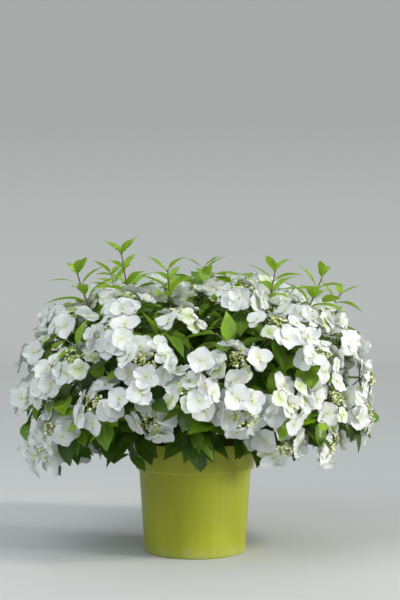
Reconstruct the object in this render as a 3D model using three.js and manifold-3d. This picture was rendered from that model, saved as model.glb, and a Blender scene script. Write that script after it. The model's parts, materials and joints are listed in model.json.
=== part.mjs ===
// A garden hydrangea in flower, in the round plastic pot it is sold in.
// Millimetres, +Z up. The origin is the centre of the pot's flat underside, and -Y is the front.
// The shrub is a short woody stock on the compost, one arching bough for each mass of foliage,
// and masses whose twigs carry pairs of leaves and flat heads of white flowers.
import * as THREE from "three";
import { mergeVertices } from "three/addons/utils/BufferGeometryUtils.js";
import Module from "manifold-3d";

const wasm = await Module();
wasm.setup();

// Pot: a plain tapered bucket with a deep band round its rim.
const POT_HEIGHT = 205;
const RIM_RADIUS = 115;
const BAND_FOOT_RADIUS = 109.5;
const BAND_HEIGHT = 51;
const BODY_TOP_RADIUS = 104;
const BASE_RADIUS = 94;
const WALL = 2.4;
const POT_FLOOR = 3;
const POT_SIDES = 36;

// Compost fills the pot to just under the rim.
const COMPOST_TOP = 190;
const CLEAR = 0.3; // between pieces that rest on or meet each other
const FIT = 0.5; // round the compost

// Stock: the short woody foot that every bough springs from, with its root flare.
const STOCK_HEIGHT = 29;
const STOCK_FLARE = 31;
const STOCK_WAIST = 21;
const STOCK_LEAN = 3;
const STOCK_SIDES = 12;

// The crown is a low dome whose skirt hangs furthest at the sides. Its sizes go to the middles of the heads.
const HEART = 245; // height of the point that the masses' wedges of space all start from
const WAIST = 300; // height of the crown's widest ring
const RISE = 197; // from the waist to the summit
const REACH = { right: 332, back: 294, left: 318, front: 294 };
const HANG = { right: 112, back: 82, left: 134, front: 26 }; // how far the skirt hangs below the waist
const FULLNESS = 0.25; // of the dome's shoulders: a half would be an ellipsoid, and less is fuller
const TUCK = 0.12; // how much narrower the skirt's fringe is than the waist
const LEAF_REACH = 34; // how far leaves may stand out past the heads' middles
const LEAF_RISE = 44; // and above them, at the summit
const OVERHANG_RADIUS = 205; // within which leaves may hang below the skirt, down over the pot's rim
const OVERHANG_FOOT = 165; // and the lowest that they hang there

// Tiers of masses. pitch is how steeply a mass's axis points up from the heart, and tip how far out its bough
// ends. The bough leaves the stock at root and bends at elbow, both given as [out, up] from the pot's axis.
const TIERS = [
  { name: "skirt", count: 8, first: 0, pitch: -4, tip: 122, elbow: [62, 258], root: [11, 205], radius: 4.2 },
  { name: "shoulder", count: 5, first: 18, pitch: 36, tip: 99, elbow: [34, 264], root: [11, 213], radius: 4 },
  { name: "top", count: 1, first: 90, pitch: 90, tip: 90, elbow: [4, 270], root: [1, 213], radius: 3.8 },
];
const TIP_TAPER = 0.75; // the radius of a bough's or twig's tip, as a share of its root's
const BOUGH_SIDES = 5;
const BOUGH_STEPS = 5;

// Flower heads: flat lacecaps, each a ring of big florets round a low middle.
const HEADS_TRIED = 300;
const HEAD_SPACING = 84;
const DOME_SHARE = 0.6; // of the heads tried are above the waist
const FIRST_HEAD = 225; // turn of the head at the summit
const HEAD_RADIUS = 55;
const HEAD_THICK = 13;
const HEAD_INSET = 26; // from a head's middle to the sides of its mass's wedge
const HEAD_DEPTH = 26; // how far inside the crown's surface a head may lie
// Degrees that a head faces up at the waist, how much more at the summit, less at the fringe, and either way.
const HEAD_PITCH = { waist: 12, dome: 66, skirt: 30, wander: 14 };
const HEAD_SWING = 0.25; // radians that a head may face to either side
// Heads that hang lowest, one on the left and one on the right in front. face is the turn that they face.
const HANGING_HEADS = [
  { turn: 195, lift: -0.88, face: 235 },
  { turn: 309, lift: -1.4, face: 290 },
];
const STALK_OFFSET = 9; // from a head's middle to where its stalk comes in
const FLORETS = [5.6, 7.6];
const FLORET_SIZE = [0.86, 1.04]; // of the head's radius
const FLORET_TILT = [-0.34, 0.12]; // backwards or forwards, as a share of its length
const FLORET_OUTLINE = [[0, 0.58], [0.3, 1], [0.7, 1]]; // [share of its angle, share of its length]

// Leaves stand in opposite pairs. at gives how far along their stem, twig or shoot, forward is how much they
// point along it, sag how much they hang, scale their size, and slim narrows them. Free leaves may stand out
// of the crown.
const LEAF_PAIRS = {
  stem: { at: [0.12, 0.5, 0.86], forward: 0.4, sag: 0.9, scale: 1, slim: 1 },
  twig: { at: [0.42, 0.82], forward: 0.1, sag: 0.3, scale: 0.95, slim: 1 },
  shoot: { at: [0.38, 0.68, 0.95], forward: 0.8, sag: -0.1, scale: 0.7, slim: 0.62, free: true },
};
const LEAF_SWING = 0.35; // radians that a pair may be turned from its neighbours' cross
const PAIR_STEP = 1.2; // between each foot of a pair and its middle
const LEAF_SIZES = [0.86, 1.1]; // of the leaf's length
const LEAF_FOLD = [0.04, 0.12]; // of its width
const LEAF_DROOP = [0.02, 0.16]; // of its length, at its tip
const LEAF_LENGTH = 86;
const LEAF_WIDTH = 45;
const LEAF_THICK = 2.6;
const LEAF_SUNK = 0.6; // how far a leaf's foot runs past its twig's middle
const LEAF_BROADEST = 0.52; // of its length, from the foot
const CROSSING = 3; // mm³ that a leaf may share with another leaf or a flower head before it is left out
const SMALL_LEAF = 0.7; // of its length, for a leaf that doesn't fit at its full size
const STEM_RADIUS = 3.8;
const TWIG_RADIUS = 1.8;
const SIDE_GAP = 0.4; // between a mass and the sides of its wedge
const HUB_REACH = 0.6; // of the way from a bough's tip to the middle of its mass's heads
const FORKS = [0.5, 0.97]; // of a stem's length, between which its twigs fork off
const TWIG_ARCH = 12; // how far a twig's middle lies forward of its ends
const BOUGH_WANDER = 4; // how far a bough's elbow may lie off its place

// Young shoots that stand above the flowers. turn and lift give the place on the crown, rise how far the
// shoot's tip is above it, and lean how far out.
const SHOOTS = [
  { turn: 222, lift: 0.96, rise: 68, lean: 4 },
  { turn: 255, lift: 0.95, rise: 38, lean: -8 },
  { turn: 190, lift: 0.9, rise: 38, lean: 10 },
  { turn: 318, lift: 0.94, rise: 34, lean: 8 },
  { turn: 335, lift: 0.85, rise: 42, lean: 16 },
  { turn: 20, lift: 0.72, rise: 38, lean: 30 },
  { turn: 84, lift: 0.95, rise: 46, lean: -6 },
  { turn: 140, lift: 0.9, rise: 42, lean: 14 },
];
const SHOOT_ROOT = 30; // depth under the crown's surface where a shoot begins

const GOLDEN_TURN = Math.PI * (3 - Math.sqrt(5));
const UP = new THREE.Vector3(0, 0, 1);
const HEART_POINT = new THREE.Vector3(0, 0, HEART);
const radians = THREE.MathUtils.degToRad;

const MATERIALS = {
  pot: new THREE.MeshStandardMaterial({ color: "#8c9a1f", roughness: 0.42, metalness: 0 }),
  compost: new THREE.MeshStandardMaterial({ color: "#2a1c14", roughness: 0.95, metalness: 0 }),
  bark: new THREE.MeshStandardMaterial({ color: "#6b4f34", roughness: 0.85, metalness: 0 }),
  foliage: new THREE.MeshStandardMaterial({ color: "#a9bf94", roughness: 0.6, metalness: 0 }),
};

// Seeded dice: the same whole-number steps throw the same plant every time.
function dice(seed) {
  let state = Math.imul(seed + 1, 2654435761) >>> 0;
  return (low, high) => {
    state = (Math.imul(state, 1664525) + 1013904223) >>> 0;
    return low + ((high - low) * state) / 4294967296;
  };
}

// A closed geometry as a solid, its doubled corners merged.
function solidOf(geometry) {
  geometry.deleteAttribute("normal");
  geometry.deleteAttribute("uv");
  const merged = mergeVertices(geometry, 1e-3);
  return new wasm.Manifold(
    new wasm.Mesh({
      numProp: 3,
      vertProperties: new Float32Array(merged.attributes.position.array),
      triVerts: new Uint32Array(merged.index.array),
    }),
  );
}

// A solid's triangles as a geometry again.
function geometryOf(solid) {
  const mesh = solid.getMesh();
  return new THREE.BufferGeometry()
    .setAttribute("position", new THREE.BufferAttribute(mesh.vertProperties, mesh.numProp))
    .setIndex(new THREE.BufferAttribute(mesh.triVerts, 1));
}

function largestPiece(solid) {
  return solid.decompose().sort((a, b) => b.volume() - a.volume())[0];
}

// Every vertex of a geometry goes where the rule sends it.
function reshaped(geometry, rule) {
  const places = geometry.attributes.position;
  const place = new THREE.Vector3();
  for (let i = 0; i < places.count; i += 1) {
    place.fromBufferAttribute(places, i);
    const moved = rule(place);
    places.setXYZ(i, moved.x, moved.y, moved.z);
  }
  return geometry;
}

// An outline of [radius, height] points turned round the pot's axis. It starts and ends on the axis.
function turned(outline, sides) {
  const points = outline.map(([radius, height]) => new THREE.Vector2(radius, height));
  return new THREE.LatheGeometry(points, sides).rotateX(Math.PI / 2);
}

// A tapering limb: a cylinder bent along a curve that lies in one plane.
function limb(curve, startRadius, endRadius, sides, steps) {
  const chord = curve.v2.clone().sub(curve.v0);
  const across = curve.v1.clone().sub(curve.v0).cross(chord);
  if (across.length() < 1) across.crossVectors(chord, new THREE.Vector3(0.3, 0.9, 0.2));
  across.normalize();
  return reshaped(new THREE.CylinderGeometry(1, 1, 1, sides, steps), (p) => {
    const along = p.y + 0.5;
    const other = across.clone().cross(curve.getTangent(along));
    const radius = THREE.MathUtils.lerp(startRadius, endRadius, along);
    return curve.getPoint(along).addScaledVector(across, p.x * radius).addScaledVector(other, p.z * radius);
  });
}

// The value of a four-sided size in any direction, eased from one side to the next.
function sided(size, turn) {
  const c = Math.cos(turn);
  const s = Math.sin(turn);
  return c * c * (c > 0 ? size.right : size.left) + s * s * (s > 0 ? size.back : size.front);
}

function pointing(turn, pitch) {
  const level = Math.cos(pitch);
  return new THREE.Vector3(Math.cos(turn) * level, Math.sin(turn) * level, Math.sin(pitch));
}

// The crown's radius at a lift, which is 1 at the summit, 0 at the waist and -1 at the skirt's fringe.
function crownRadius(turn, lift) {
  const spread = lift > 0 ? (1 - lift * lift) ** FULLNESS : 1 - TUCK * lift * lift;
  return sided(REACH, turn) * spread;
}

// A place on the crown, or that far inwards of it.
function crownPlace(turn, lift, inwards) {
  const pitch = Math.asin(Math.max(0, lift));
  const height = WAIST + lift * (lift > 0 ? RISE : sided(HANG, turn));
  return pointing(turn, 0)
    .multiplyScalar(crownRadius(turn, lift))
    .setZ(height)
    .addScaledVector(pointing(turn, pitch), -inwards);
}

// Whether a leaf's tip would stand out of the crown, and not hang over the pot's rim either.
function outsideCrown(place) {
  const turn = Math.atan2(place.y, place.x);
  const radius = Math.hypot(place.x, place.y);
  const above = place.z - WAIST;
  if (radius < OVERHANG_RADIUS && above < 0 && place.z > OVERHANG_FOOT) return false;
  const lift = above > 0 ? above / (RISE + LEAF_RISE) : above / (sided(HANG, turn) + LEAF_REACH);
  if (Math.abs(lift) > 1) return true;
  return radius > crownRadius(turn, lift) + LEAF_REACH;
}

const MASSES = TIERS.flatMap((tier) =>
  Array.from({ length: tier.count }, (_, i) => {
    const turn = radians(tier.first + (360 / tier.count) * i);
    const axis = pointing(turn, radians(tier.pitch));
    return { name: `${tier.name}_${i + 1}`, tier, turn, axis, heads: [], shoots: [] };
  }),
);
// A mass's wedge holds the directions from the heart that are nearer to its own axis than to any other's.
for (const mass of MASSES) {
  mass.walls = MASSES.filter((other) => other !== mass).map((other) =>
    mass.axis.clone().sub(other.axis).normalize(),
  );
}

// How far a place lies inside a mass's wedge.
function depthInside(mass, place) {
  const from = place.clone().sub(HEART_POINT);
  return Math.min(...mass.walls.map((wall) => from.dot(wall)));
}

function massAt(place) {
  const from = place.clone().sub(HEART_POINT);
  return MASSES.reduce((best, mass) => (from.dot(mass.axis) > from.dot(best.axis) ? mass : best));
}

// A place moved in from the sides of its mass's wedge.
function tuckedIn(mass, place, margin) {
  const moved = place.clone();
  for (let pass = 0; pass < 4; pass += 1) {
    for (const wall of mass.walls) {
      const depth = moved.clone().sub(HEART_POINT).dot(wall);
      if (depth < margin) moved.addScaledVector(wall, (margin - depth) * 0.6);
    }
  }
  return moved;
}

// The flower heads are spread over the crown by the golden turn, a fair way apart, after the few that hang
// below the rest. Each belongs to the mass whose wedge it lies in.
function placeHeads() {
  const placed = [];
  const put = (seed, on, facing) => {
    const mass = massAt(on);
    const place = tuckedIn(mass, on, HEAD_INSET);
    if (placed.some((other) => other.distanceTo(place) < HEAD_SPACING)) return;
    placed.push(place);
    const across = new THREE.Vector3(0.31, 0.2, 0.93).cross(facing).normalize();
    mass.heads.push({ seed, place, facing, across });
  };
  HANGING_HEADS.forEach(({ turn, lift, face }, i) => {
    const pitch = radians(HEAD_PITCH.waist + HEAD_PITCH.skirt * lift);
    put(HEADS_TRIED + i, crownPlace(radians(turn), lift, 0), pointing(radians(face), pitch));
  });
  for (let k = 0; k < HEADS_TRIED; k += 1) {
    const throwOf = dice(k);
    const share = (k + 0.5) / HEADS_TRIED;
    const lift = share < DOME_SHARE ? 1 - share / DOME_SHARE : (DOME_SHARE - share) / (1 - DOME_SHARE);
    const turn = radians(FIRST_HEAD) + k * GOLDEN_TURN + throwOf(-0.06, 0.06);
    const on = crownPlace(turn, lift, throwOf(0, HEAD_DEPTH));
    const change = (lift > 0 ? HEAD_PITCH.dome : HEAD_PITCH.skirt) * lift;
    const pitch = radians(HEAD_PITCH.waist + change + throwOf(-HEAD_PITCH.wander, HEAD_PITCH.wander));
    put(k, on, pointing(turn + throwOf(-HEAD_SWING, HEAD_SWING), pitch));
  }
}

function placeShoots() {
  SHOOTS.forEach((shoot, i) => {
    const turn = radians(shoot.turn);
    const foot = crownPlace(turn, shoot.lift, SHOOT_ROOT);
    const tip = crownPlace(turn, shoot.lift, 0)
      .addScaledVector(UP, shoot.rise)
      .addScaledVector(pointing(turn, 0), shoot.lean);
    const mass = massAt(foot);
    mass.shoots.push({ seed: i, foot: tuckedIn(mass, foot, 10), tip: tuckedIn(mass, tip, 16) });
  });
}

// A flower head: a flattened ball whose edge is drawn out into florets, each tilted its own way.
function flowerHead(mass, head) {
  const throwOf = dice(1000 + head.seed);
  const florets = Math.round(throwOf(...FLORETS));
  const sizes = Array.from({ length: florets }, () => throwOf(...FLORET_SIZE) * HEAD_RADIUS);
  const tilts = Array.from({ length: florets }, () => throwOf(...FLORET_TILT));
  const other = head.across.clone().cross(head.facing);
  const perFloret = FLORET_OUTLINE.length;
  const corners = florets * perFloret;
  return reshaped(new THREE.SphereGeometry(1, corners, 2), (p) => {
    if (Math.abs(p.y) > 0.5) return head.place.clone().addScaledVector(head.facing, p.y * (HEAD_THICK / 2));
    const corner = (Math.round((Math.atan2(p.z, p.x) / (2 * Math.PI)) * corners) + corners) % corners;
    const floret = Math.floor(corner / perFloret);
    const [share, out] = FLORET_OUTLINE[corner % perFloret];
    const angle = ((floret + share) / florets) * 2 * Math.PI;
    const edge = head.place
      .clone()
      .addScaledVector(head.across, sizes[floret] * out * Math.cos(angle))
      .addScaledVector(other, sizes[floret] * out * Math.sin(angle))
      .addScaledVector(head.facing, share > 0 ? sizes[floret] * tilts[floret] : 0);
    const depth = depthInside(mass, edge);
    if (depth > SIDE_GAP) return edge;
    const middle = depthInside(mass, head.place);
    return edge.lerp(head.place, 1.02 * (1 - (middle - SIDE_GAP) / (middle - depth)));
  });
}

// A leaf of eight faces, folded a little along its midrib.
function leaf({ foot, way, face, length, slim, fold, droop }) {
  const normal = face.clone().addScaledVector(way, -face.dot(way)).normalize();
  const side = way.clone().cross(normal);
  const width = (slim * length * LEAF_WIDTH) / LEAF_LENGTH;
  return reshaped(new THREE.OctahedronGeometry(1, 0), (p) => {
    const out = p.x > 0.5 ? length : p.x < -0.5 ? -LEAF_SUNK : LEAF_BROADEST * length;
    const rise = p.y * (LEAF_THICK / 2) - Math.abs(p.y) * fold * width - Math.max(0, p.x) * droop * length;
    return foot
      .clone()
      .addScaledVector(way, out)
      .addScaledVector(normal, rise)
      .addScaledVector(side, p.z * (width / 2));
  });
}

// The pairs of leaves on a twig, each on opposite sides of it and turned a quarter from the pair below.
function leafPairs(twig, { at, forward, sag, scale, slim, free }, outward, throwOf) {
  return at.flatMap((share, i) => {
    const tangent = twig.getTangent(share);
    const level = new THREE.Vector3().crossVectors(tangent, UP);
    if (level.length() < 0.2) level.crossVectors(tangent, outward);
    level.normalize().applyAxisAngle(tangent, (i * Math.PI) / 2 + throwOf(-LEAF_SWING, LEAF_SWING));
    const lean = tangent.clone().multiplyScalar(forward).addScaledVector(UP, -sag);
    return [1, -1].map((side) => ({
      foot: twig.getPoint(share).addScaledVector(tangent, side * PAIR_STEP),
      way: lean.clone().addScaledVector(level, side).normalize(),
      face: UP.clone().multiplyScalar(0.75).addScaledVector(outward, 0.55),
      length: LEAF_LENGTH * scale * throwOf(...LEAF_SIZES),
      slim,
      fold: throwOf(...LEAF_FOLD),
      droop: throwOf(...LEAF_DROOP),
      free,
    }));
  });
}

// A mass's stem carries on from its bough's tip to a hub among its heads.
function stemOf(mass) {
  const start = mass.tip.clone().addScaledVector(mass.heading, CLEAR);
  const ends = [...mass.heads.map((head) => head.place), ...mass.shoots.map((shoot) => shoot.foot)];
  const middle = ends.reduce((sum, end) => sum.add(end), new THREE.Vector3()).divideScalar(ends.length);
  const hub = start.clone().lerp(middle, HUB_REACH);
  const bend = start.clone().addScaledVector(mass.heading, hub.distanceTo(start) / 2);
  return new THREE.QuadraticBezierCurve3(start, bend, hub);
}

// The twig that forks off the stem to a head, each a little further along the stem than the last.
function headTwig(mass, stem, head) {
  const share = (mass.heads.indexOf(head) + 0.5) / mass.heads.length;
  const fork = stem.getPoint(THREE.MathUtils.lerp(...FORKS, share));
  const end = head.place.clone().addScaledVector(head.across, STALK_OFFSET);
  const elbow = fork.clone().lerp(end, 0.5).addScaledVector(mass.heading, TWIG_ARCH);
  return new THREE.QuadraticBezierCurve3(fork, elbow, end);
}

// A shoot has a straight foot from the hub to the crown's surface, and rises from there.
function shootTwigs(mass, stem, shoot) {
  const hub = stem.v2.clone();
  const elbow = shoot.foot.clone().lerp(shoot.tip, 0.4).addScaledVector(mass.heading, TWIG_ARCH / 2);
  return [
    new THREE.QuadraticBezierCurve3(hub, hub.clone().lerp(shoot.foot, 0.5), shoot.foot),
    new THREE.QuadraticBezierCurve3(shoot.foot, elbow, shoot.tip),
  ];
}

// A leaf keeps inside the crown and its mass's wedge, off the limbs, and off the heads and leaves before it.
function leafFits(mass, place, solid, limbs, crowd) {
  if (!place.free && outsideCrown(place.foot.clone().addScaledVector(place.way, place.length))) return false;
  if (!insideWedge(mass, solid) || !solid.intersect(limbs).isEmpty()) return false;
  return crowd.every((other) => solid.intersect(other).volume() < CROSSING);
}

// A mass: its stem, twigs, heads and leaves joined into one. What would hang by a point is left out.
function growMass(mass, limbs) {
  const stem = stemOf(mass);
  const stemDice = dice(2000 + MASSES.indexOf(mass));
  const twigs = [limb(stem, STEM_RADIUS, STEM_RADIUS * TIP_TAPER, 3, 3)];
  const leaves = leafPairs(stem, LEAF_PAIRS.stem, mass.axis, stemDice);
  for (const head of mass.heads) {
    const twig = headTwig(mass, stem, head);
    twigs.push(limb(twig, TWIG_RADIUS, TWIG_RADIUS * TIP_TAPER, 3, 2));
    leaves.push(...leafPairs(twig, LEAF_PAIRS.twig, head.facing, dice(3000 + head.seed)));
  }
  for (const shoot of mass.shoots) {
    const [foot, twig] = shootTwigs(mass, stem, shoot);
    twigs.push(limb(foot, TWIG_RADIUS, TWIG_RADIUS, 3, 1));
    twigs.push(limb(twig, TWIG_RADIUS, TWIG_RADIUS * TIP_TAPER, 3, 2));
    leaves.push(...leafPairs(twig, LEAF_PAIRS.shoot, UP, dice(4000 + shoot.seed)));
  }
  const crowd = mass.heads.map((head) => solidOf(flowerHead(mass, head)));
  for (const place of leaves) {
    const fitting = [1, SMALL_LEAF]
      .map((share) => ({ ...place, length: place.length * share }))
      .map((sized) => [sized, solidOf(leaf(sized))])
      .find(([sized, solid]) => leafFits(mass, sized, solid, limbs, crowd));
    if (fitting) crowd.push(fitting[1]);
  }
  const joined = wasm.Manifold.union([...twigs.map(solidOf), ...crowd]);
  return largestPiece(solidOf(geometryOf(joined)));
}

function insideWedge(mass, solid) {
  const { vertProperties, numProp, numVert } = solid.getMesh();
  const place = new THREE.Vector3();
  for (let i = 0; i < numVert; i += 1) {
    place.fromArray(vertProperties, i * numProp);
    if (depthInside(mass, place) < SIDE_GAP) return false;
  }
  return true;
}

// The pot's outside, grown by spare all round.
function potOutline(spare) {
  return [
    [0, -spare],
    [BASE_RADIUS + spare, -spare],
    [BODY_TOP_RADIUS + spare, POT_HEIGHT - BAND_HEIGHT - spare],
    [BAND_FOOT_RADIUS + spare, POT_HEIGHT - BAND_HEIGHT - spare],
    [RIM_RADIUS + spare, POT_HEIGHT + spare],
  ];
}

// The wall follows the band inside as well as outside.
function pot() {
  const shelf = POT_HEIGHT - BAND_HEIGHT + WALL;
  return turned(
    [
      ...potOutline(0),
      [RIM_RADIUS - WALL, POT_HEIGHT],
      [BAND_FOOT_RADIUS - WALL, shelf],
      [BODY_TOP_RADIUS - WALL, shelf],
      [BASE_RADIUS - WALL, POT_FLOOR],
      [0, POT_FLOOR],
    ],
    POT_SIDES,
  );
}

// The compost follows the inside of the pot, and its top is a little lower round the edge.
function compost() {
  const shelf = POT_HEIGHT - BAND_HEIGHT + WALL + CLEAR;
  const bandSlope = (RIM_RADIUS - BAND_FOOT_RADIUS) / BAND_HEIGHT;
  const edge = COMPOST_TOP - 3;
  return turned(
    [
      [0, POT_FLOOR + CLEAR],
      [BASE_RADIUS - WALL - FIT, POT_FLOOR + CLEAR],
      [BODY_TOP_RADIUS - WALL - FIT, shelf],
      [BAND_FOOT_RADIUS - WALL - FIT, shelf],
      [BAND_FOOT_RADIUS - WALL - FIT + bandSlope * (edge - shelf), edge],
      [STOCK_FLARE + 12, COMPOST_TOP],
      [0, COMPOST_TOP],
    ],
    POT_SIDES,
  );
}

// The stock leans as it rises. spare grows it all round.
function stock(spare) {
  const foot = COMPOST_TOP + CLEAR;
  const shape = turned(
    [
      [0, foot - spare],
      [STOCK_FLARE + spare, foot - spare],
      [STOCK_FLARE * 0.82 + spare, foot + 5],
      [STOCK_WAIST + spare, foot + STOCK_HEIGHT * 0.45],
      [STOCK_WAIST * 0.95 + spare, foot + STOCK_HEIGHT * 0.8],
      [STOCK_WAIST * 0.66 + spare, foot + STOCK_HEIGHT + spare],
      [0, foot + STOCK_HEIGHT + spare],
    ],
    STOCK_SIDES,
  );
  return reshaped(shape, (p) => p.setX(p.x + (STOCK_LEAN * (p.z - foot)) / STOCK_HEIGHT));
}

// A bough rises from the stock, bends over at its elbow and ends where its mass begins.
function growBough(mass, stockSpace) {
  const { tier, turn } = mass;
  const throwOf = dice(5000 + MASSES.indexOf(mass));
  const [rootOut, rootUp] = tier.root;
  const [elbowOut, elbowUp] = tier.elbow;
  const root = pointing(turn, 0).multiplyScalar(rootOut).setZ(rootUp);
  const elbow = pointing(turn, 0)
    .multiplyScalar(elbowOut)
    .addScaledVector(pointing(turn + Math.PI / 2, 0), throwOf(-BOUGH_WANDER, BOUGH_WANDER))
    .setZ(elbowUp + throwOf(-BOUGH_WANDER, BOUGH_WANDER));
  mass.tip = HEART_POINT.clone().addScaledVector(mass.axis, tier.tip + throwOf(-BOUGH_WANDER, BOUGH_WANDER));
  mass.heading = mass.tip.clone().sub(elbow).normalize();
  const curve = new THREE.QuadraticBezierCurve3(root, elbow, mass.tip);
  const shape = limb(curve, tier.radius, tier.radius * TIP_TAPER, BOUGH_SIDES, BOUGH_STEPS);
  return largestPiece(solidOf(shape).subtract(stockSpace));
}

const plant = new THREE.Group();

function add(name, geometry, material) {
  const mesh = new THREE.Mesh(geometry, material);
  mesh.name = name;
  plant.add(mesh);
}

placeHeads();
placeShoots();
const stockSpace = solidOf(stock(CLEAR + 0.1));
const boughs = MASSES.map((mass) => growBough(mass, stockSpace));
const potSpace = solidOf(turned([...potOutline(1), [0, POT_HEIGHT + 1]], POT_SIDES));
const limbs = wasm.Manifold.union([...boughs, stockSpace, potSpace]);

add("pot", pot(), MATERIALS.pot);
add("compost", compost(), MATERIALS.compost);
add("stock", stock(0), MATERIALS.bark);
MASSES.forEach((mass, i) => {
  add(`bough_${mass.name}`, geometryOf(boughs[i]), MATERIALS.bark);
  add(`foliage_${mass.name}`, geometryOf(growMass(mass, limbs)), MATERIALS.foliage);
});

export default plant;
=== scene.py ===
# %% [markdown]
# # A potted hydrangea, from plain solids to leaves and petals
# The CAD model has this plant's real sizes: a pot, compost, a woody stock, one bough for each mass of
# foliage, and the masses themselves, each joined into one coarse solid. This lesson dresses it. Every plain
# solid is replaced by surfaces worked out with numpy, and the plant grows again from the rule that grew the
# solids, so each bough, twig and flower head comes out in the same place, and is then carried on to finer
# twigs.

# %% Load the frame
import json
import math
from types import SimpleNamespace

import bpy
import numpy as np
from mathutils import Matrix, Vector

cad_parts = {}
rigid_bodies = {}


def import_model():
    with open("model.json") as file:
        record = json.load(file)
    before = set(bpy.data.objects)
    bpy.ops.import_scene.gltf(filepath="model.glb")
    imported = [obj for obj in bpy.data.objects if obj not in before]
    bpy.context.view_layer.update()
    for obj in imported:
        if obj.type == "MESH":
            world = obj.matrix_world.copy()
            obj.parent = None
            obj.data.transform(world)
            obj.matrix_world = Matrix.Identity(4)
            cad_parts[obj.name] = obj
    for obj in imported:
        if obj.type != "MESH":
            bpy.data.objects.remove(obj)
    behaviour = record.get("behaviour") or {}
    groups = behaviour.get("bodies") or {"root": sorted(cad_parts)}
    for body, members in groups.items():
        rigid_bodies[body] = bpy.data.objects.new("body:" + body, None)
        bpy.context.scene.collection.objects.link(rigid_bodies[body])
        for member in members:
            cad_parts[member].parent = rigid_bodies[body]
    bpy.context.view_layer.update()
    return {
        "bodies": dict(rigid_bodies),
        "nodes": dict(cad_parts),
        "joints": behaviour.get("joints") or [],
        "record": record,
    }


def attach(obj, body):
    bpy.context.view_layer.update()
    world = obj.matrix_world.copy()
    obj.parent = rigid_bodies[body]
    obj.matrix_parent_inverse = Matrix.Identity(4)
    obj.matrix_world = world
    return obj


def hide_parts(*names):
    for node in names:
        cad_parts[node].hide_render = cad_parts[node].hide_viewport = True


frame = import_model()
MM = 0.001  # the rule works in millimetres, and Blender in metres

# %% [markdown]
# ## Dice that always fall the same way
# A plant must look unplanned, yet come out the same each time. Python's own random numbers would do, but the
# CAD model was grown in another language, and both have to throw alike. So the dice are a few lines of
# whole-number arithmetic that any language repeats exactly. Each kind of thing that grows has its own
# thousand of seeds, so that more of one kind doesn't change the throws of another.

# %% Seeded dice
WHOLE = 2**32  # a state is a whole number below this
SPREAD = 2654435761  # sets the first states of neighbouring seeds far apart
FACTOR, STEP = 1664525, 1013904223  # carry each state to the next
SEEDS = dict(heads=0, florets=1000, stems=2000, twigs=3000, shoots=4000, boughs=5000, sides=6000, rays=7000)


def dice(seed):
    """A throw multiplies the state by a constant, adds another, keeps 32 bits, and scales it to low..high."""
    state = (seed + 1) * SPREAD % WHOLE

    def throw(low, high):
        nonlocal state
        state = (state * FACTOR + STEP) % WHOLE
        return low + (high - low) * state / WHOLE

    return throw


def unit(vectors):
    """Each vector divided by its own length."""
    return vectors / np.maximum(np.linalg.norm(vectors, axis=-1, keepdims=True), 1e-12)


def pointing(turn, pitch=0.0):
    """The direction at an angle round the pot's axis and an angle above the horizon, in radians."""
    level = math.cos(pitch)
    return np.array([math.cos(turn) * level, math.sin(turn) * level, math.sin(pitch)])


UP = np.array([0.0, 0.0, 1.0])
ASKEW = np.array([0.31, 0.2, 0.93])  # a direction that nothing on the plant runs along
throw = dice(0)
print("first throws of dice 0:", [round(throw(0, 1), 4) for _ in range(2)])

# %% [markdown]
# ## The crown's outline
# Seen from afar the shrub is a low dome whose skirt hangs over the pot, further at the sides than in front.
# Four reaches and four hanging depths, eased round the plant, are enough to say that. Heads are laid on this
# surface, and leaves are kept within it, so the outline stays true however much is grown.

# %% Outline of the crown
HEART = np.array([0.0, 0.0, 245.0])  # the point that the masses' wedges of space all start from
WAIST = 300.0  # height of the widest ring
RISE = 197.0  # from the waist to the summit
REACH = {"right": 332, "back": 294, "left": 318, "front": 294}
HANG = {"right": 112, "back": 82, "left": 134, "front": 26}  # how far the skirt hangs below the waist
FULLNESS = 0.25  # of the dome's shoulders: a half would be an ellipsoid
TUCK = 0.12  # how much narrower the skirt's fringe is than the waist
LEAF_REACH = 34.0  # how far leaves may stand out past the heads' middles
LEAF_RISE = 44.0  # and above them, at the summit
OVERHANG_RADIUS = 205.0  # within which leaves may hang below the skirt, down over the pot's rim
OVERHANG_FOOT = 165.0  # and the lowest that they hang there


def sided(size, turn):
    """Cosine squared of the right or left size plus sine squared of the back or front one."""
    c, s = np.cos(turn), np.sin(turn)
    across = np.where(c > 0, size["right"], size["left"])
    along = np.where(s > 0, size["back"], size["front"])
    return c * c * across + s * s * along


def crown_radius(turn, lift):
    """The reach, narrowed above the waist by (1 - lift squared) to a power, and below it by a share."""
    dome = np.maximum(1 - lift * lift, 0) ** FULLNESS
    return sided(REACH, turn) * np.where(lift > 0, dome, 1 - TUCK * lift * lift)


def crown_place(turn, lift, inwards):
    """A place on the crown: lift is 1 at the summit, 0 at the waist and -1 at the fringe."""
    height = WAIST + lift * (RISE if lift > 0 else sided(HANG, turn))
    place = pointing(turn) * crown_radius(turn, lift)
    place[2] = height
    return place - pointing(turn, math.asin(max(0, lift))) * inwards


def outside_crown(places, reach=LEAF_REACH):
    """Whether places stand out of the surface that runs a leaf's reach outside the heads' middles, and don't
    hang over the pot's rim either."""
    turn = np.arctan2(places[..., 1], places[..., 0])
    radius = np.hypot(places[..., 0], places[..., 1])
    above = places[..., 2] - WAIST
    rise = LEAF_RISE + reach - LEAF_REACH
    lift = np.where(above > 0, above / (RISE + rise), above / (sided(HANG, turn) + reach))
    outside = (radius > crown_radius(turn, lift) + reach) | (np.abs(lift) > 1)
    return outside & ~((radius < OVERHANG_RADIUS) & (above < 0) & (places[..., 2] > OVERHANG_FOOT))


print("crown, left to right:", round(float(sided(REACH, math.pi) + sided(REACH, 0))), "mm")

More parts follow.
